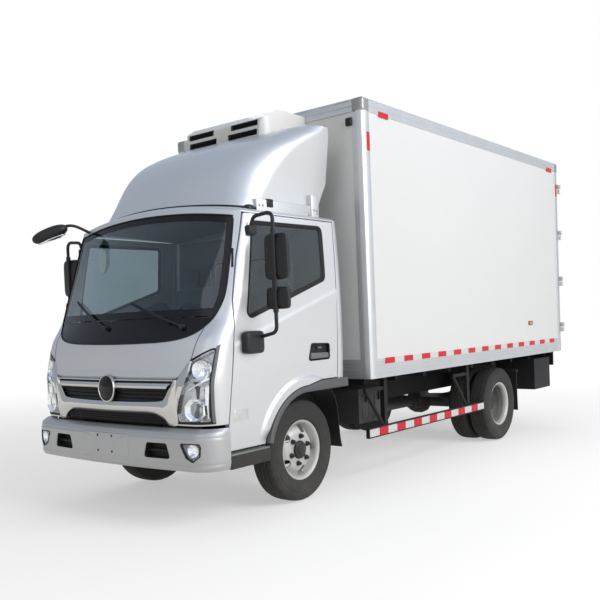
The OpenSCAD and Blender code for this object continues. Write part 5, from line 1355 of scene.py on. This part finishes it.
def spin(axis, angle):
    """Matrix that turns points about the axis of that number by an angle."""
    i, j = (axis + 1) % 3, (axis + 2) % 3
    matrix = np.eye(3)
    matrix[[i, j], [i, j]] = np.cos(angle)
    matrix[j, i], matrix[i, j] = np.sin(angle), -np.sin(angle)
    return matrix


def head_shape(radii, roundness, drop):
    """Egg-shaped shell turned and leaned into place, lowered by the drop along its own axis."""
    egg = padded_block(np.negative(radii), radii, roundness, 0.0, 24, 40) + (0, 0, drop)
    return shell(egg @ (spin(2, HEAD_SWING) @ spin(1, HEAD_TILT)).T + HEAD_AT, wrap_v=True)


piece("front_mirror_head", "cab", "plastic_black", satin_black, head_shape((0.149, 0.068, 0.052), 0.85, 0.0),
      tube(front_arm, 0.0115, 14), crease=60, stands_for=["front_mirror"])
piece("front_mirror_glass", "cab", "glass_tinted", silvered, head_shape((0.118, 0.052, 0.010), 0.9, -0.046),
      crease=60)

# Dashboard: moulded grey-black plastic with a soft hood over the gauges, across the whole cab. Pale grey board
# lines the back wall and the roof, and a rubber mat covers the floor.
dash_plastic = make_finish("dash_plastic", (0.050, 0.051, 0.054), 0.55, uneven=0.15, patch=12, grain_size=420,
                           bump=0.25)
floor_mat = make_finish("floor_mat", (0.022, 0.022, 0.023), 0.75, uneven=0.25, patch=10, grain_size=120, bump=0.35)
lining_board = make_finish("lining_board", (0.34, 0.34, 0.33), 0.8, uneven=0.08, patch=8, grain_size=500, bump=0.25)
dress(dash_plastic, "dashboard")
dress(floor_mat, "cab_floor")
dash_parts = [pad((0.235, AXLE_Y - 0.86, 1.335), (0.605, AXLE_Y - 0.655, 1.405), 0.35, 0.004),
              pad((-0.19, AXLE_Y - 0.80, 1.16), (0.19, AXLE_Y - 0.615, 1.335), 0.25, 0.004)]
vents = [pad((x - 0.065, AXLE_Y - 0.640, 1.245), (x + 0.065, AXLE_Y - 0.618, 1.310), 0.3, 0.003)
         for x in (-0.62, -0.38, 0.70)]
piece("dash_hood", "cab", "plastic_black", dash_plastic, *dash_parts, crease=45)
piece("dash_vents", "cab", "plastic_grey", grey_strip, *vents, crease=45)

lining_z = np.linspace(0.930, ROOF_Z - 0.02, 40)


def lining_grid(inset):
    """Points of the back wall's lining by height, in from the skin by the inset."""
    flat = np.array([rear_row(z, inset, rear_seam(z) + 0.02)[10:-10] for z in lining_z])
    return xyz(flat[..., 0], AXLE_Y + flat[..., 1], lining_z[:, None])


def hoop_round(outline, y, rows):
    """Hoop round an outline in x and z: rows are the distance in from it and the distance behind y."""
    lines = [(offset(outline, inward), back) for inward, back in rows]
    return hoop([xyz(line[:, 0], y + back, line[:, 1]) for line, back in lines])


REAR_WINDOW = rounded([(-0.480, 1.560), (0.480, 1.560), (0.480, 1.900), (-0.480, 1.900)], 0.060)
WINDOW_SEAL = [(0.012, 0.010), (0.010, 0.004), (-0.010, 0.004), (-0.012, -0.0005), (0.0, -0.0005), (0.001, -0.020),
               (0.012, -0.020)]
back_lining = carve([sheet(lining_grid(WALL + 0.003), lining_grid(WALL + 0.008))],
                    [through(REAR_WINDOW, AXLE_Y + 0.30, AXLE_Y + 0.60)])
piece("back_lining", "cab", "plastic_grey", lining_board, back_lining, crease=40)
rear_edge, back_y = resampled(REAR_WINDOW, 120), AXLE_Y + CAB_REAR
flat, off = drawn_in(resampled(offset(rear_edge, 0.002), 120), (0, 1.73), pane(-0.012, -0.018, 6))
piece("rear_window_pane", "cab", "glass_tinted", screen_glass,
      shell(xyz(flat[..., 0], back_y - 0.030 - off, flat[..., 1]), wrap_v=True), crease=40)
piece("rear_window_seal", "cab", "plastic_black", rubber, hoop_round(rear_edge, back_y, WINDOW_SEAL), crease=50)
head_lining = dome((WALL + 0.006, WALL + 0.006), ROOF_RISE - WALL, 0.008) * (0.985, 1, 1) - (0, 0, 0.012)
piece("roof_lining", "cab", "seat_fabric", lining_board, shell(head_lining, wrap_v=True), crease=50)

# Steering wheel: a thick moulded rim with finger grips, on three flat spokes round a padded boss. It is drawn flat
# and then leaned back on its column.
WHEEL_AT, WHEEL_TILT, WHEEL_R = np.array([0.420, AXLE_Y - 0.510, 1.395]), np.radians(-32), 0.195


def on_wheel(points):
    """Points drawn flat about the wheel's own axis, leaned back and moved to the column."""
    return points @ spin(0, WHEEL_TILT).T + WHEEL_AT


u = np.linspace(0, 2 * np.pi, 96, endpoint=False)[:, None]
v = np.linspace(0, 2 * np.pi, 16, endpoint=False)[None, :]
grip = 0.0140 + 0.0004 * np.cos(18 * u)
reach = WHEEL_R + grip * np.cos(v)
boss = padded_block((-0.075, -0.062, -0.018), (0.075, 0.058, 0.014), 0.5, (0, 0, 0.006))
wheel_parts = [hoop(on_wheel(xyz(reach * np.cos(u), reach * np.sin(u), grip * np.sin(v)))),
               shell(on_wheel(boss), wrap_v=True)]
reach = np.linspace(0.05, 0.193, 14)
spoke_rise = -0.010 + 0.008 * np.sin(np.pi * (reach - 0.05) / 0.143)
for turn in np.radians([15, 165, 270]):
    spoke = xyz(reach * np.cos(turn), reach * np.sin(turn), spoke_rise)
    wheel_parts.append(tube(on_wheel(spoke), np.linspace(0.020, 0.013, 14), 12, 0.45))
soft_black = make_finish("soft_black", (0.018, 0.018, 0.019), 0.5, uneven=0.15, patch=25, grain_size=600, bump=0.2)
piece("steering_rim", "steering_wheel", "plastic_black", soft_black, *wheel_parts, crease=60,
      stands_for=["steering_wheel"])

# Entry steps: black moulded boxes under the doors, hung from the frame on flat brackets. Rows of steel teeth
# along the tread keep boots from slipping.
STEP_IN, STEP_OUT, STEP_Y0, STEP_Y1, STEP_Z0, STEP_Z1 = 0.760, 0.954, AXLE_Y - 0.860, AXLE_Y - 0.454, 0.384, 0.490
BRACKET_Y = (AXLE_Y - 0.720, AXLE_Y - 0.670)
TOOTH = np.array([(-0.0058, -0.010), (0.0058, -0.010), (0.0022, 0.0), (-0.0022, 0.0)])
step_parts, teeth = [], []
for out in (1, -1):
    step_parts.append(block((STEP_IN, STEP_OUT), (STEP_Y0, STEP_Y1), (STEP_Z0, STEP_Z1 - 0.012), 0.012, 4, out))
    step_parts.append(block((STEP_IN + 0.005, STEP_IN + 0.045), BRACKET_Y, (0.470, 0.560), 0.004, out=out))
    step_parts.append(block((0.345, STEP_IN + 0.045), BRACKET_Y, (0.510, 0.560), 0.004, out=out))
    teeth.append(block((STEP_IN + 0.02, STEP_OUT - 0.004), (STEP_Y0 + 0.006, STEP_Y1 - 0.006),
                       (STEP_Z1 - 0.014, STEP_Z1 - 0.008), 0.002, out=out))
    for x in out * (STEP_OUT - np.array([0.012, 0.050, 0.088, 0.126])):
        teeth += [across(TOOTH + (y, STEP_Z1), x - 0.004, x + 0.004)
                  for y in np.linspace(STEP_Y0 + 0.012, STEP_Y1 - 0.012, 27)]
step_black = make_finish("step_black", (0.026, 0.025, 0.024), 0.55, uneven=0.2, patch=14, dusty=0.10, reach=0.9,
                         grain_size=350, bump=0.15, specular_ior_level=0.25)
step_steel = make_finish("step_steel", (0.30, 0.30, 0.29), 0.42, uneven=0.2, patch=30, dusty=0.3, reach=0.9,
                         metallic=0.9)
piece("step_boxes", "chassis", "plastic_black", step_black, *step_parts, crease=40, stands_for=["steps"])
piece("step_treads", "chassis", "steel_dark", step_steel, *teeth, crease=20)

# Arch trims: grey flexible mouldings along the lower edge of the doors and the rear posts, bent round the wheel.
# They stay with the cab, on hangers from its floor.
ARCH_OUT = 0.958
# across the trim: distance in from the arch's radius, width from the middle of the truck
TRIM = np.array([(0.008, 0.870), (0.008, 0.948), (0.0095, 0.955), (0.014, ARCH_OUT), (0.030, ARCH_OUT + 0.002),
                 (0.047, ARCH_OUT), (0.051, 0.954), (0.051, 0.870)])
arch_turn = np.radians(np.linspace(165, 86, 72))[:, None]
tail = np.linspace(0.07, CAB_REAR - 0.004, 24)[:, None]


def arch_trim(out):
    """The trim's outline carried round the wheel and then straight back to the rear of the cab."""
    inward, wide = TRIM.T
    radius = ARCH_R - inward
    d = np.concatenate([np.cos(arch_turn) * radius, tail + 0 * radius])
    z = AXLE_Z + np.concatenate([np.sin(arch_turn) * radius, radius + 0 * tail])
    z += 0.030 * np.clip(d / 0.16, 0, 1) * (inward < 0.02)
    return shell(xyz(out * wide, AXLE_Y + d, z), wrap_v=True, cap=True)


arch_grey = make_finish("arch_grey", (0.085, 0.088, 0.092), 0.50, uneven=0.15, patch=12, dusty=0.2, reach=1.1,
                        grain_size=380, bump=0.12)
hangers = [block((0.800, 0.875), (AXLE_Y - 0.070, AXLE_Y + 0.070), (AXLE_Z + ARCH_R - 0.020, FLOOR_Z), 0.004, out=out)
           for out in (1, -1)]
piece("wheel_arch_trims", "cab", "plastic_grey", arch_grey, arch_trim(1), arch_trim(-1), *hangers, crease=40,
      stands_for=["arch_trims"])

# Mud flaps: black rubber sheets. The front pair curve down behind the wheels, each on a flat stay; the rear pair
# are ribbed and hang from a bar.
FLAP = [(0.250, 0.868), (0.360, 0.835), (0.440, 0.760), (0.482, 0.650), (0.497, 0.520), (0.510, 0.400),
        (0.530, 0.330)]
flap_line = smooth_line(FLAP, 40)
flap_side = np.gradient(flap_line, axis=0)
flap_side = np.stack([-flap_side[:, 1], flap_side[:, 0]], 1) / np.linalg.norm(flap_side, axis=1, keepdims=True)
front_x, rear_x = np.linspace(0.660, 0.866, 9), np.linspace(0.515, 0.984, 15)
rear_u, rear_y = np.linspace(0, 1, 30)[:, None], AXLE_Y + 3.308 + 0.445
ribs = 0.003 * np.cos(rear_x / 0.030 * 2 * np.pi) ** 8
flaps = []
for out in (1, -1):
    flaps.append(sheet(*(xyz(out * front_x, AXLE_Y + line[:, :1], line[:, 1:])
                         for line in (flap_line, flap_line + 0.007 * flap_side))))
    flaps.append(block((0.410, 0.687), (AXLE_Y + 0.498, AXLE_Y + 0.510), (0.610, 0.640), 0.004, out=out))
    flaps.append(sheet(*(xyz(out * rear_x, rear_y + 0.012 * rear_u**2 + back, 0.720 - 0.455 * rear_u)
                         for back in (ribs + 0.010, 0 * ribs))))
    flaps.append(block((0.412, 0.990), (rear_y, rear_y + 0.030), (0.680, 0.720), 0.005, out=out))
flap_rubber = make_finish("flap_rubber", (0.016, 0.016, 0.016), 0.6, uneven=0.25, patch=12, dusty=0.12, reach=0.7,
                          grain_size=300, bump=0.15, specular_ior_level=0.25)
piece("mud_flap_sheets", "chassis", "plastic_black", flap_rubber, *flaps, crease=40, stands_for=["mud_flaps"])

# Cooling unit: a white moulded hood with rounded corners on the box's front wall. Four slots with black louvres
# let air through the coil behind, and four catches hold it at its sides.
UNIT_TOP, UNIT_BACK, UNIT_Y = BOX_HIGH - 0.048, 0.712, AXLE_Y + UNIT_FRONT
hood_side = rounded([(UNIT_FRONT, UNIT_Z + 0.09), (UNIT_FRONT + 0.06, UNIT_Z), (0.912, UNIT_Z), (0.912, UNIT_TOP),
                     (UNIT_FRONT + 0.17, UNIT_TOP), (UNIT_FRONT + 0.022, UNIT_TOP - 0.08)], 0.046, 10)
hood_plan = rounded([(-0.44, UNIT_FRONT - 0.001), (0.44, UNIT_FRONT - 0.001), (UNIT_X, UNIT_FRONT + 0.26),
                     (UNIT_X, 0.912), (-UNIT_X, 0.912), (-UNIT_X, UNIT_FRONT + 0.26)], 0.110, 12)
hood_column = swept(hood_plan + (0, AXLE_Y), (0, 0, UNIT_Z - 0.01), (0, 0, UNIT_TOP + 0.05), (1, 0, 0), (0, 1, 0))
hood = carve([across(hood_side + (AXLE_Y, 0), -UNIT_X, UNIT_X)], [hood_column], "INTERSECT")
# slots: middle across, foot, half length; the lower pair reaches further in
SLOT_TALL, SLOT_DEEP = 0.048, 0.075
SLOTS = [(s * x, UNIT_TOP - drop, half)
         for s in (1, -1) for x, drop, half in ((0.245, 0.130, 0.145), (0.225, 0.205, 0.160))]
LOUVRE = np.array([(0.0, 0.0), (0.028, 0.010), (0.028, 0.0125), (0.0, 0.0025)])
slot_cuts, louvres = [], []
for x, z, half in SLOTS:
    x0, x1, top = x - half, x + half, z + SLOT_TALL
    slot_cuts.append(through(rounded([(x0, z), (x1, z), (x1, top), (x0, top)], 0.007, 4), UNIT_Y - 0.03,
                             UNIT_Y + SLOT_DEEP))
    louvres += [across(LOUVRE + (UNIT_Y + 0.016, z + 0.006 + 0.0115 * k), x0, x1) for k in range(4)]
    louvres.append(block((x0, x1), (UNIT_Y + 0.050, UNIT_Y + SLOT_DEEP - 0.002), (z, top), 0.003))
hood = carve([hood], slot_cuts)
hood = carve([hood], [block((-0.7, 0.7), (AXLE_Y + UNIT_BACK, AXLE_Y + 1.2), (2.3, 3.4), 0.001, 1)])
unit_white = make_finish("unit_white", (0.80, 0.80, 0.78), 0.32, uneven=0.04, patch=4, grain_size=300, bump=0.03,
                         coat_weight=0.3)
piece("cooling_hood", "chassis", "panel_white", unit_white, hood, crease=30, stands_for=["cooling_unit"])
piece("cooling_louvres", "chassis", "plastic_black", moulded_black, *louvres, crease=30)
catches = [block((UNIT_X - 0.006, UNIT_X + 0.006), (y - 0.03, y + 0.03), (UNIT_Z + 0.10, UNIT_Z + 0.13), 0.004, out=s)
           for s in (1, -1) for y in (AXLE_Y + 0.50, AXLE_Y + 0.64)]
piece("cooling_catches", "chassis", "aluminium", zinc_bolt, *catches, crease=40)

# Rear doors: two insulated panels in alloy edge sections with a rubber seal. Each hangs on four forged hinges and
# is held shut by a locking rod with cams, keepers and a swing handle.
DOOR_Y, FLOOR_TOP, DOORWAY_TOP = BOX_BACK, BOX_LOW + 0.130, BOX_HIGH - 0.140
PANEL_IN, PANEL_OUT, PANEL_Z0, PANEL_Z1 = 0.012, BOX_X - 0.092, FLOOR_TOP + 0.012, DOORWAY_TOP - 0.012
PIN_X, PIN_Y, ROD_X, ROD_Y, ROD_R = BOX_X + 0.032, DOOR_Y + 0.026, 0.170, DOOR_Y + 0.016, 0.012
HANDLE_Z, HANDLE_REACH = FLOOR_TOP + 0.580, 0.255
hinge_z, keeper_z = (FLOOR_TOP + np.array(share) * (DOORWAY_TOP - FLOOR_TOP)
                     for share in ((0.08, 0.36, 0.64, 0.92), (0.03, 0.33, 0.66, 0.97)))
# edge section: distance out from the panel's edge, distance behind its face
EDGING = [(-0.040, -0.0036), (-0.0395, -0.001), (-0.036, 0.0), (-0.004, 0.0), (0.0, -0.004), (0.0, -0.030),
          (-0.006, -0.030), (-0.008, -0.0036)]
DOOR_SEAL = [(0.002, -0.046), (-0.004, -0.046), (-0.0075, -0.040), (-0.004, -0.034), (0.002, -0.034)]
galvanised = make_finish("galvanised", (0.42, 0.43, 0.44), 0.40, uneven=0.3, patch=45, metallic=0.9, bump=0.06)


def upright(x, y, z0, z1, radius, rings=10):
    """Round bar standing on end, slightly chamfered."""
    z = np.concatenate([[z0, z0 + 0.001], np.linspace(z0 + 0.003, z1 - 0.003, rings), [z1 - 0.001, z1]])
    r = radius * np.concatenate([[0.86, 0.95], np.ones(rings), [0.95, 0.86]])
    return tube(xyz(x, y, z), r, 18)


def bolt_head(x, y, z):
    """Flat bolt head that faces the back."""
    turn = circle(16, 1, 1).T
    return shell(xyz(x + BOLT_HEAD[:, :1] * turn[0], y + BOLT_HEAD[:, 1:] * 0.5, z + BOLT_HEAD[:, :1] * turn[1]),
                 wrap_v=True)


door_edge = resampled(rounded([(PANEL_IN, PANEL_Z0), (PANEL_OUT, PANEL_Z0), (PANEL_OUT, PANEL_Z1),
                               (PANEL_IN, PANEL_Z1)], 0.010), 200)
grip_x = np.linspace(0, HANDLE_REACH, 20)
grip_y = ROD_Y + 0.002 + 0.004 * np.sin(np.pi * grip_x / HANDLE_REACH)
for side_name, out in SIDES:
    body = f"rear_door_{side_name}"
    leaf = block((PANEL_IN, PANEL_OUT), (DOOR_Y - 0.080, DOOR_Y - 0.0035), (PANEL_Z0, PANEL_Z1), 0.006, out=out)
    piece(f"{body}_panel", body, "panel_white", gel_coat, leaf, crease=30, stands_for=[body])
    x0, x1, y = out * (PANEL_IN + 0.036), out * (PANEL_OUT - 0.036), DOOR_Y - 0.0004
    edging = [swept(EDGING, (out * x, DOOR_Y, PANEL_Z0), (out * x, DOOR_Y, PANEL_Z1), (out * way, 0, 0), (0, 1, 0))
              for x, way in ((PANEL_OUT, 1), (PANEL_IN, -1))]
    edging += [swept(EDGING, (x0, y, z), (x1, y, z), (0, 0, way), (0, 1, 0))
               for z, way in ((PANEL_Z1, 1), (PANEL_Z0, -1))]
    piece(f"{body}_edging", body, "aluminium", bare_alloy, *edging, crease=30)
    piece(f"{body}_seal", body, "plastic_black", rubber, hoop_round(door_edge * (out, 1), DOOR_Y, DOOR_SEAL),
          crease=50)
    iron = [upright(out * ROD_X, ROD_Y, PANEL_Z0 + 0.02, PANEL_Z1 - 0.02, ROD_R, 60)]
    for z in hinge_z:
        tall, inner = (z + 0.004, z + 0.056), PANEL_OUT - 0.170
        iron.append(upright(out * PIN_X, PIN_Y, *tall, 0.0118))
        iron.append(block((inner, PANEL_OUT - 0.004), (DOOR_Y + 0.0005, DOOR_Y + 0.009), tall, 0.004, out=out))
        iron.append(block((inner, PIN_X), (DOOR_Y + 0.007, DOOR_Y + 0.017), tall, 0.004, out=out))
        iron += [bolt_head(out * (inner + 0.020 + 0.045 * k), DOOR_Y + 0.017, z + 0.030) for k in range(3)]
    for z in keeper_z:
        iron.append(block((ROD_X - 0.030, ROD_X + 0.030), (DOOR_Y, ROD_Y + 0.006), (z - 0.025, z + 0.025), 0.006,
                          out=out))
        iron += [bolt_head(out * (ROD_X + aside), ROD_Y + 0.006, z) for aside in (0.020, -0.020)]
    iron.append(tube(xyz(out * (ROD_X + grip_x), grip_y, HANDLE_Z), np.linspace(0.016, 0.011, 20), 14, 0.55))
    iron.append(block((ROD_X + 0.20, ROD_X + 0.235), (DOOR_Y, ROD_Y - 0.006), (HANDLE_Z - 0.030, HANDLE_Z + 0.030),
                      0.004, out=out))
    piece(f"{body}_ironwork", body, "steel_dark", galvanised, *iron, crease=40)

# Tail lamps: black moulded bodies under the box's rear edge, each with a red, an amber and a clear lens in front
# of fine ribs. One small marker sits on each side of the box, and a dark lamp high on its front wall.


def lens_finish(name, color):
    """Coloured lens plastic: clear gloss over fine upright ribs."""
    material, tree = new_material(name)
    tone = add(tree, mottle, color=(*color, 1), scale=60.0, amount=0.25)
    ribs = add(tree, "TexWave", vector=add(tree, "TexCoord").outputs["Object"], scale=55.0)
    normal = add(tree, "Bump", strength=0.35, distance=0.002, height=ribs.outputs["Fac"])
    surface(tree, add(tree, "BsdfPrincipled", roughness=0.12, coat_weight=0.6, base_color=tone.outputs["Color"],
                      normal=normal.outputs[0]))
    return material


LAMP_X0, LAMP_X1, LAMP_Z0, LAMP_Z1, LAMP_Y = 0.680, 0.970, 0.700, 0.800, BOX_BACK - 0.008
amber_lens = lens_finish("amber_lens", (0.70, 0.22, 0.02))
# kind, slot, finish, width from and to
LENSES = [("red", "lamp_red", lens_finish("red_lens", (0.42, 0.012, 0.014)), 0.868, 0.962),
          ("amber", "lamp_red", amber_lens, 0.778, 0.864),
          ("clear", "lamp_clear", lens_finish("clear_lens", (0.72, 0.74, 0.75)), 0.688, 0.774)]
housings = [block((LAMP_X0, LAMP_X1), (LAMP_Y - 0.042, LAMP_Y - 0.012), (LAMP_Z0, LAMP_Z1), 0.012, 4, out)
            for out in (1, -1)]
piece("tail_lamp_bodies", "chassis", "plastic_black", moulded_black, *housings, crease=40, stands_for=["tail_lamps"])
for kind, slot, finish, x0, x1 in LENSES:
    pair = [pad((low, LAMP_Y - 0.024, LAMP_Z0 + 0.008), (high, LAMP_Y, LAMP_Z1 - 0.008), 0.25, (0, 0.004, 0), 20, 40)
            for low, high in ((x0, x1), (-x1, -x0))]
    piece(f"tail_lamp_{kind}", "chassis", slot, finish, *pair, crease=40)

MARKER_Y, MARKER_Z = AXLE_Y + 4.022, 1.223


def marker(inner, outer, long, tall, radius, steps):
    """One block on each side of the box: from inner to outer off its wall, long and tall to each side of the
    marker's middle."""
    return [block((BOX_X + inner, BOX_X + outer), (MARKER_Y - long, MARKER_Y + long),
                  (MARKER_Z - tall, MARKER_Z + tall), radius, steps, out) for out in (1, -1)]


corner_lamps = [block((BOX_X - 0.155, BOX_X - 0.095), (BOX_FRONT - 0.022, BOX_FRONT + 0.004),
                      (BOX_HIGH - 0.205, BOX_HIGH - 0.140), 0.010, 4, out) for out in (1, -1)]
piece("side_marker_bases", "chassis", "plastic_black", moulded_black, *marker(-0.004, 0.005, 0.058, 0.024, 0.004, 3),
      crease=40)
piece("side_marker_lenses", "chassis", "lamp_red", amber_lens, *marker(-0.002, 0.017, 0.052, 0.018, 0.009, 4),
      crease=45)
piece("front_wall_lamps", "chassis", "plastic_black", smoked_lens, *corner_lamps, crease=45)

# Seats: a driver's seat and a bench for two. Foam cushions in dark grey woven cloth over moulded plinths, with
# sewn channels along each cushion and a rolled seam round its edge. Sculpted in code from rounded blocks.
SEAT_FLOOR, LEAN = 0.918, np.radians(-12)
weave_cloth = make_finish("weave_cloth", (0.13, 0.133, 0.14), 0.9, uneven=0.10, patch=30, grain_size=900, bump=0.5,
                          sheen_weight=0.4)


def cushion(low, high, crown, channels, lean=0.0, pivot=(0, 0, 0)):
    """Crowned pad: a rounded block with sewn channels pressed in along its length, a seam round its edge, and
    sides that pull in between the corners; leaned back about a pivot."""
    p = padded_block(low, high, 0.38, crown, 56, 96)
    half, middle = np.subtract(high, low) / 2, np.add(low, high) / 2
    r = (p - middle) / half
    thin = int(np.argmin(half))
    face = np.clip(np.abs(r[..., thin]) * 2 - 0.6, 0, 1) * np.sign(r[..., thin])
    p[..., thin] -= 0.009 * face * sum(np.exp(-((r[..., 0] - c) / 0.035) ** 2) for c in channels)
    waist = np.exp(-(r[..., thin] / 0.12) ** 2)
    for axis in {0, 1, 2} - {thin}:
        p[..., axis] -= 0.005 * waist * np.sign(r[..., axis]) * np.clip(np.abs(r[..., axis]) * 4 - 3, 0, 1)
    return shell((p - pivot) @ spin(0, lean).T + pivot, wrap_v=True)


# name, middle across, width, channels as shares of the half width, head rests from the middle
SEATS = [("driver", 0.420, 0.480, (-0.55, 0.55), (0,)),
         ("bench", -0.300, 0.860, (-0.72, -0.02, 0.02, 0.72), (-0.22, 0.22))]
plinths = []
for seat_name, x, wide, channels, heads in SEATS:
    half = wide / 2
    foot = np.array([x, AXLE_Y + 0.072, SEAT_FLOOR + 0.18])
    plinths.append(block((x - half + 0.04, x + half - 0.04), (AXLE_Y - 0.33, AXLE_Y + 0.06),
                         (SEAT_FLOOR + 0.001, SEAT_FLOOR + 0.121), 0.010))
    cushions = {"base": cushion((x - half, AXLE_Y - 0.40, SEAT_FLOOR + 0.12),
                                (x + half, AXLE_Y + 0.09, SEAT_FLOOR + 0.26), (0, 0, 0.022), channels),
                "back": cushion(foot + (-half, 0.0, 0.08), foot + (half, 0.11, 0.60), (0, 0.020, 0), channels, LEAN,
                                foot)}
    for number, shift in enumerate(heads):
        top = np.array([x + shift, AXLE_Y + 0.196, SEAT_FLOOR + 0.74])
        cushions[f"head{number}"] = cushion(top + (-0.11, 0.01, 0.015), top + (0.11, 0.095, 0.20), (0, 0.012, 0), (),
                                            LEAN, top)
        plinths += [tube(np.linspace(top + (aside, 0.05, -0.05), top + (aside, 0.052, 0.06), 6), 0.006)
                    for aside in (0.045, -0.045)]
    for part, form in cushions.items():
        made = piece(f"seat_{seat_name}_{part}", "cab", "seat_fabric", weave_cloth, form, crease=80,
                     stands_for=["seats"] if (seat_name, part) == ("driver", "base") else [])
piece("seat_plinths", "cab", "plastic_black", dash_plastic, *plinths, crease=40)

# Tank and battery fittings: steel straps with clamp bolts hold the tank to its brackets, a black cap closes its
# filler, and the battery box has a folded lid with ribs and rubber pulls on its outer face.


def hung(node):
    """Corners of the box of a CAD node that hangs on one side, the sign of that side, and how far out it reaches."""
    low, high = np.array(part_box(node))
    return low, high, np.sign(low[0] + high[0]), max(high[0], -low[0])


low, high, out, face = hung("fuel_tank")
STRAP_WIDE, STRAP_THICK = 0.045, 0.004
CAP = np.array([(0.0, 0.036), (0.030, 0.036), (0.036, 0.032), (0.037, 0.010), (0.028, 0.008), (0.028, -0.006),
                (0.0, -0.006)])
straps = []
for share in (0.2, 0.8):
    y = low[1] + share * (high[1] - low[1])
    strap_y = (y - STRAP_WIDE / 2, y + STRAP_WIDE / 2)
    straps.append(block((face - 0.004, face + STRAP_THICK), strap_y, (low[2] - STRAP_THICK, high[2] + STRAP_THICK),
                        0.002, out=out))
    straps += [block((low[0] + 0.010, high[0] - 0.010), strap_y, (z - STRAP_THICK, z + STRAP_THICK), 0.002)
               for z in (low[2], high[2])]
    straps.append(block((face - 0.002, face + 0.014), (y - 0.014, y + 0.014), (high[2] - 0.075, high[2] - 0.035),
                        0.005, out=out))
piece("tank_straps", "chassis", "steel_dark", galvanised, *straps, crease=35)
y, z = low[1] + 0.5 * (high[1] - low[1]), high[2] - 0.080
cap_bar = block((face + 0.030, face + 0.043), (y - 0.026, y + 0.026), (z - 0.005, z + 0.005), 0.004, out=out)
piece("tank_cap", "chassis", "plastic_black", moulded_black, turned(CAP * (1, out), (out * face, y, z), 40), cap_bar,
      crease=35)

low, high, out, face = hung("battery_box")
long = high[1] - low[1]
lid = [block((low[0] - 0.004, high[0] + 0.004), (low[1] - 0.004, high[1] + 0.004), (high[2] - 0.055, high[2] + 0.003),
             0.005)]
lid += [block((face - 0.003, face + 0.004), (y, y + 0.014), (low[2] + 0.030, high[2] - 0.060), 0.003, out=out)
        for y in low[1] + np.linspace(0.05, long - 0.064, 4)]
piece("battery_lid", "chassis", "steel_dark", box_sheet, *lid, crease=35)
pull_z = np.linspace(high[2] - 0.110, high[2] - 0.020, 12)
pulls = [tube(xyz(out * (face + 0.012), y, pull_z), 0.009, 12) for y in (low[1] + 0.10, high[1] - 0.10)]
piece("battery_pulls", "chassis", "plastic_black", rubber, *pulls, crease=50)

# Door linings: moulded dark grey cards clipped to the inner side of the doors. Each has an armrest, and the lip
# of a pocket below it.
CARD = resampled(rounded([(-0.760, 0.960), (-0.300, 0.930), (0.352, 0.930), (0.362, 1.560), (0.260, 1.580),
                          (-0.760, 1.270)], 0.04), 120)
CARD_FACE = [(0, -0.010), (0.6, -0.010), (0.93, -0.009), (0.985, -0.005), (1.0, 0.001), (0, 0.001)]
rest_path = np.linspace((-0.50, 1.215), (0.20, 1.275), 30)
lip_path = np.linspace((-0.42, 1.035), (0.34, 1.035), 24)
swell = 0.030 * np.sqrt(np.clip(1 - np.linspace(-1, 1, 30) ** 4, 0.02, 1))
for side_name, out in SIDES:
    body = f"door_{side_name}"
    piece(f"{body}_lining", body, "plastic_grey", dash_plastic, door_dish(CARD, np.array(CARD_FACE) - (0, WALL), out),
          tube(on_door(rest_path, -0.012 - WALL, out), swell, 16, 0.9),
          tube(on_door(lip_path, -0.012 - WALL, out), 0.014, 12, 1.6), crease=45)
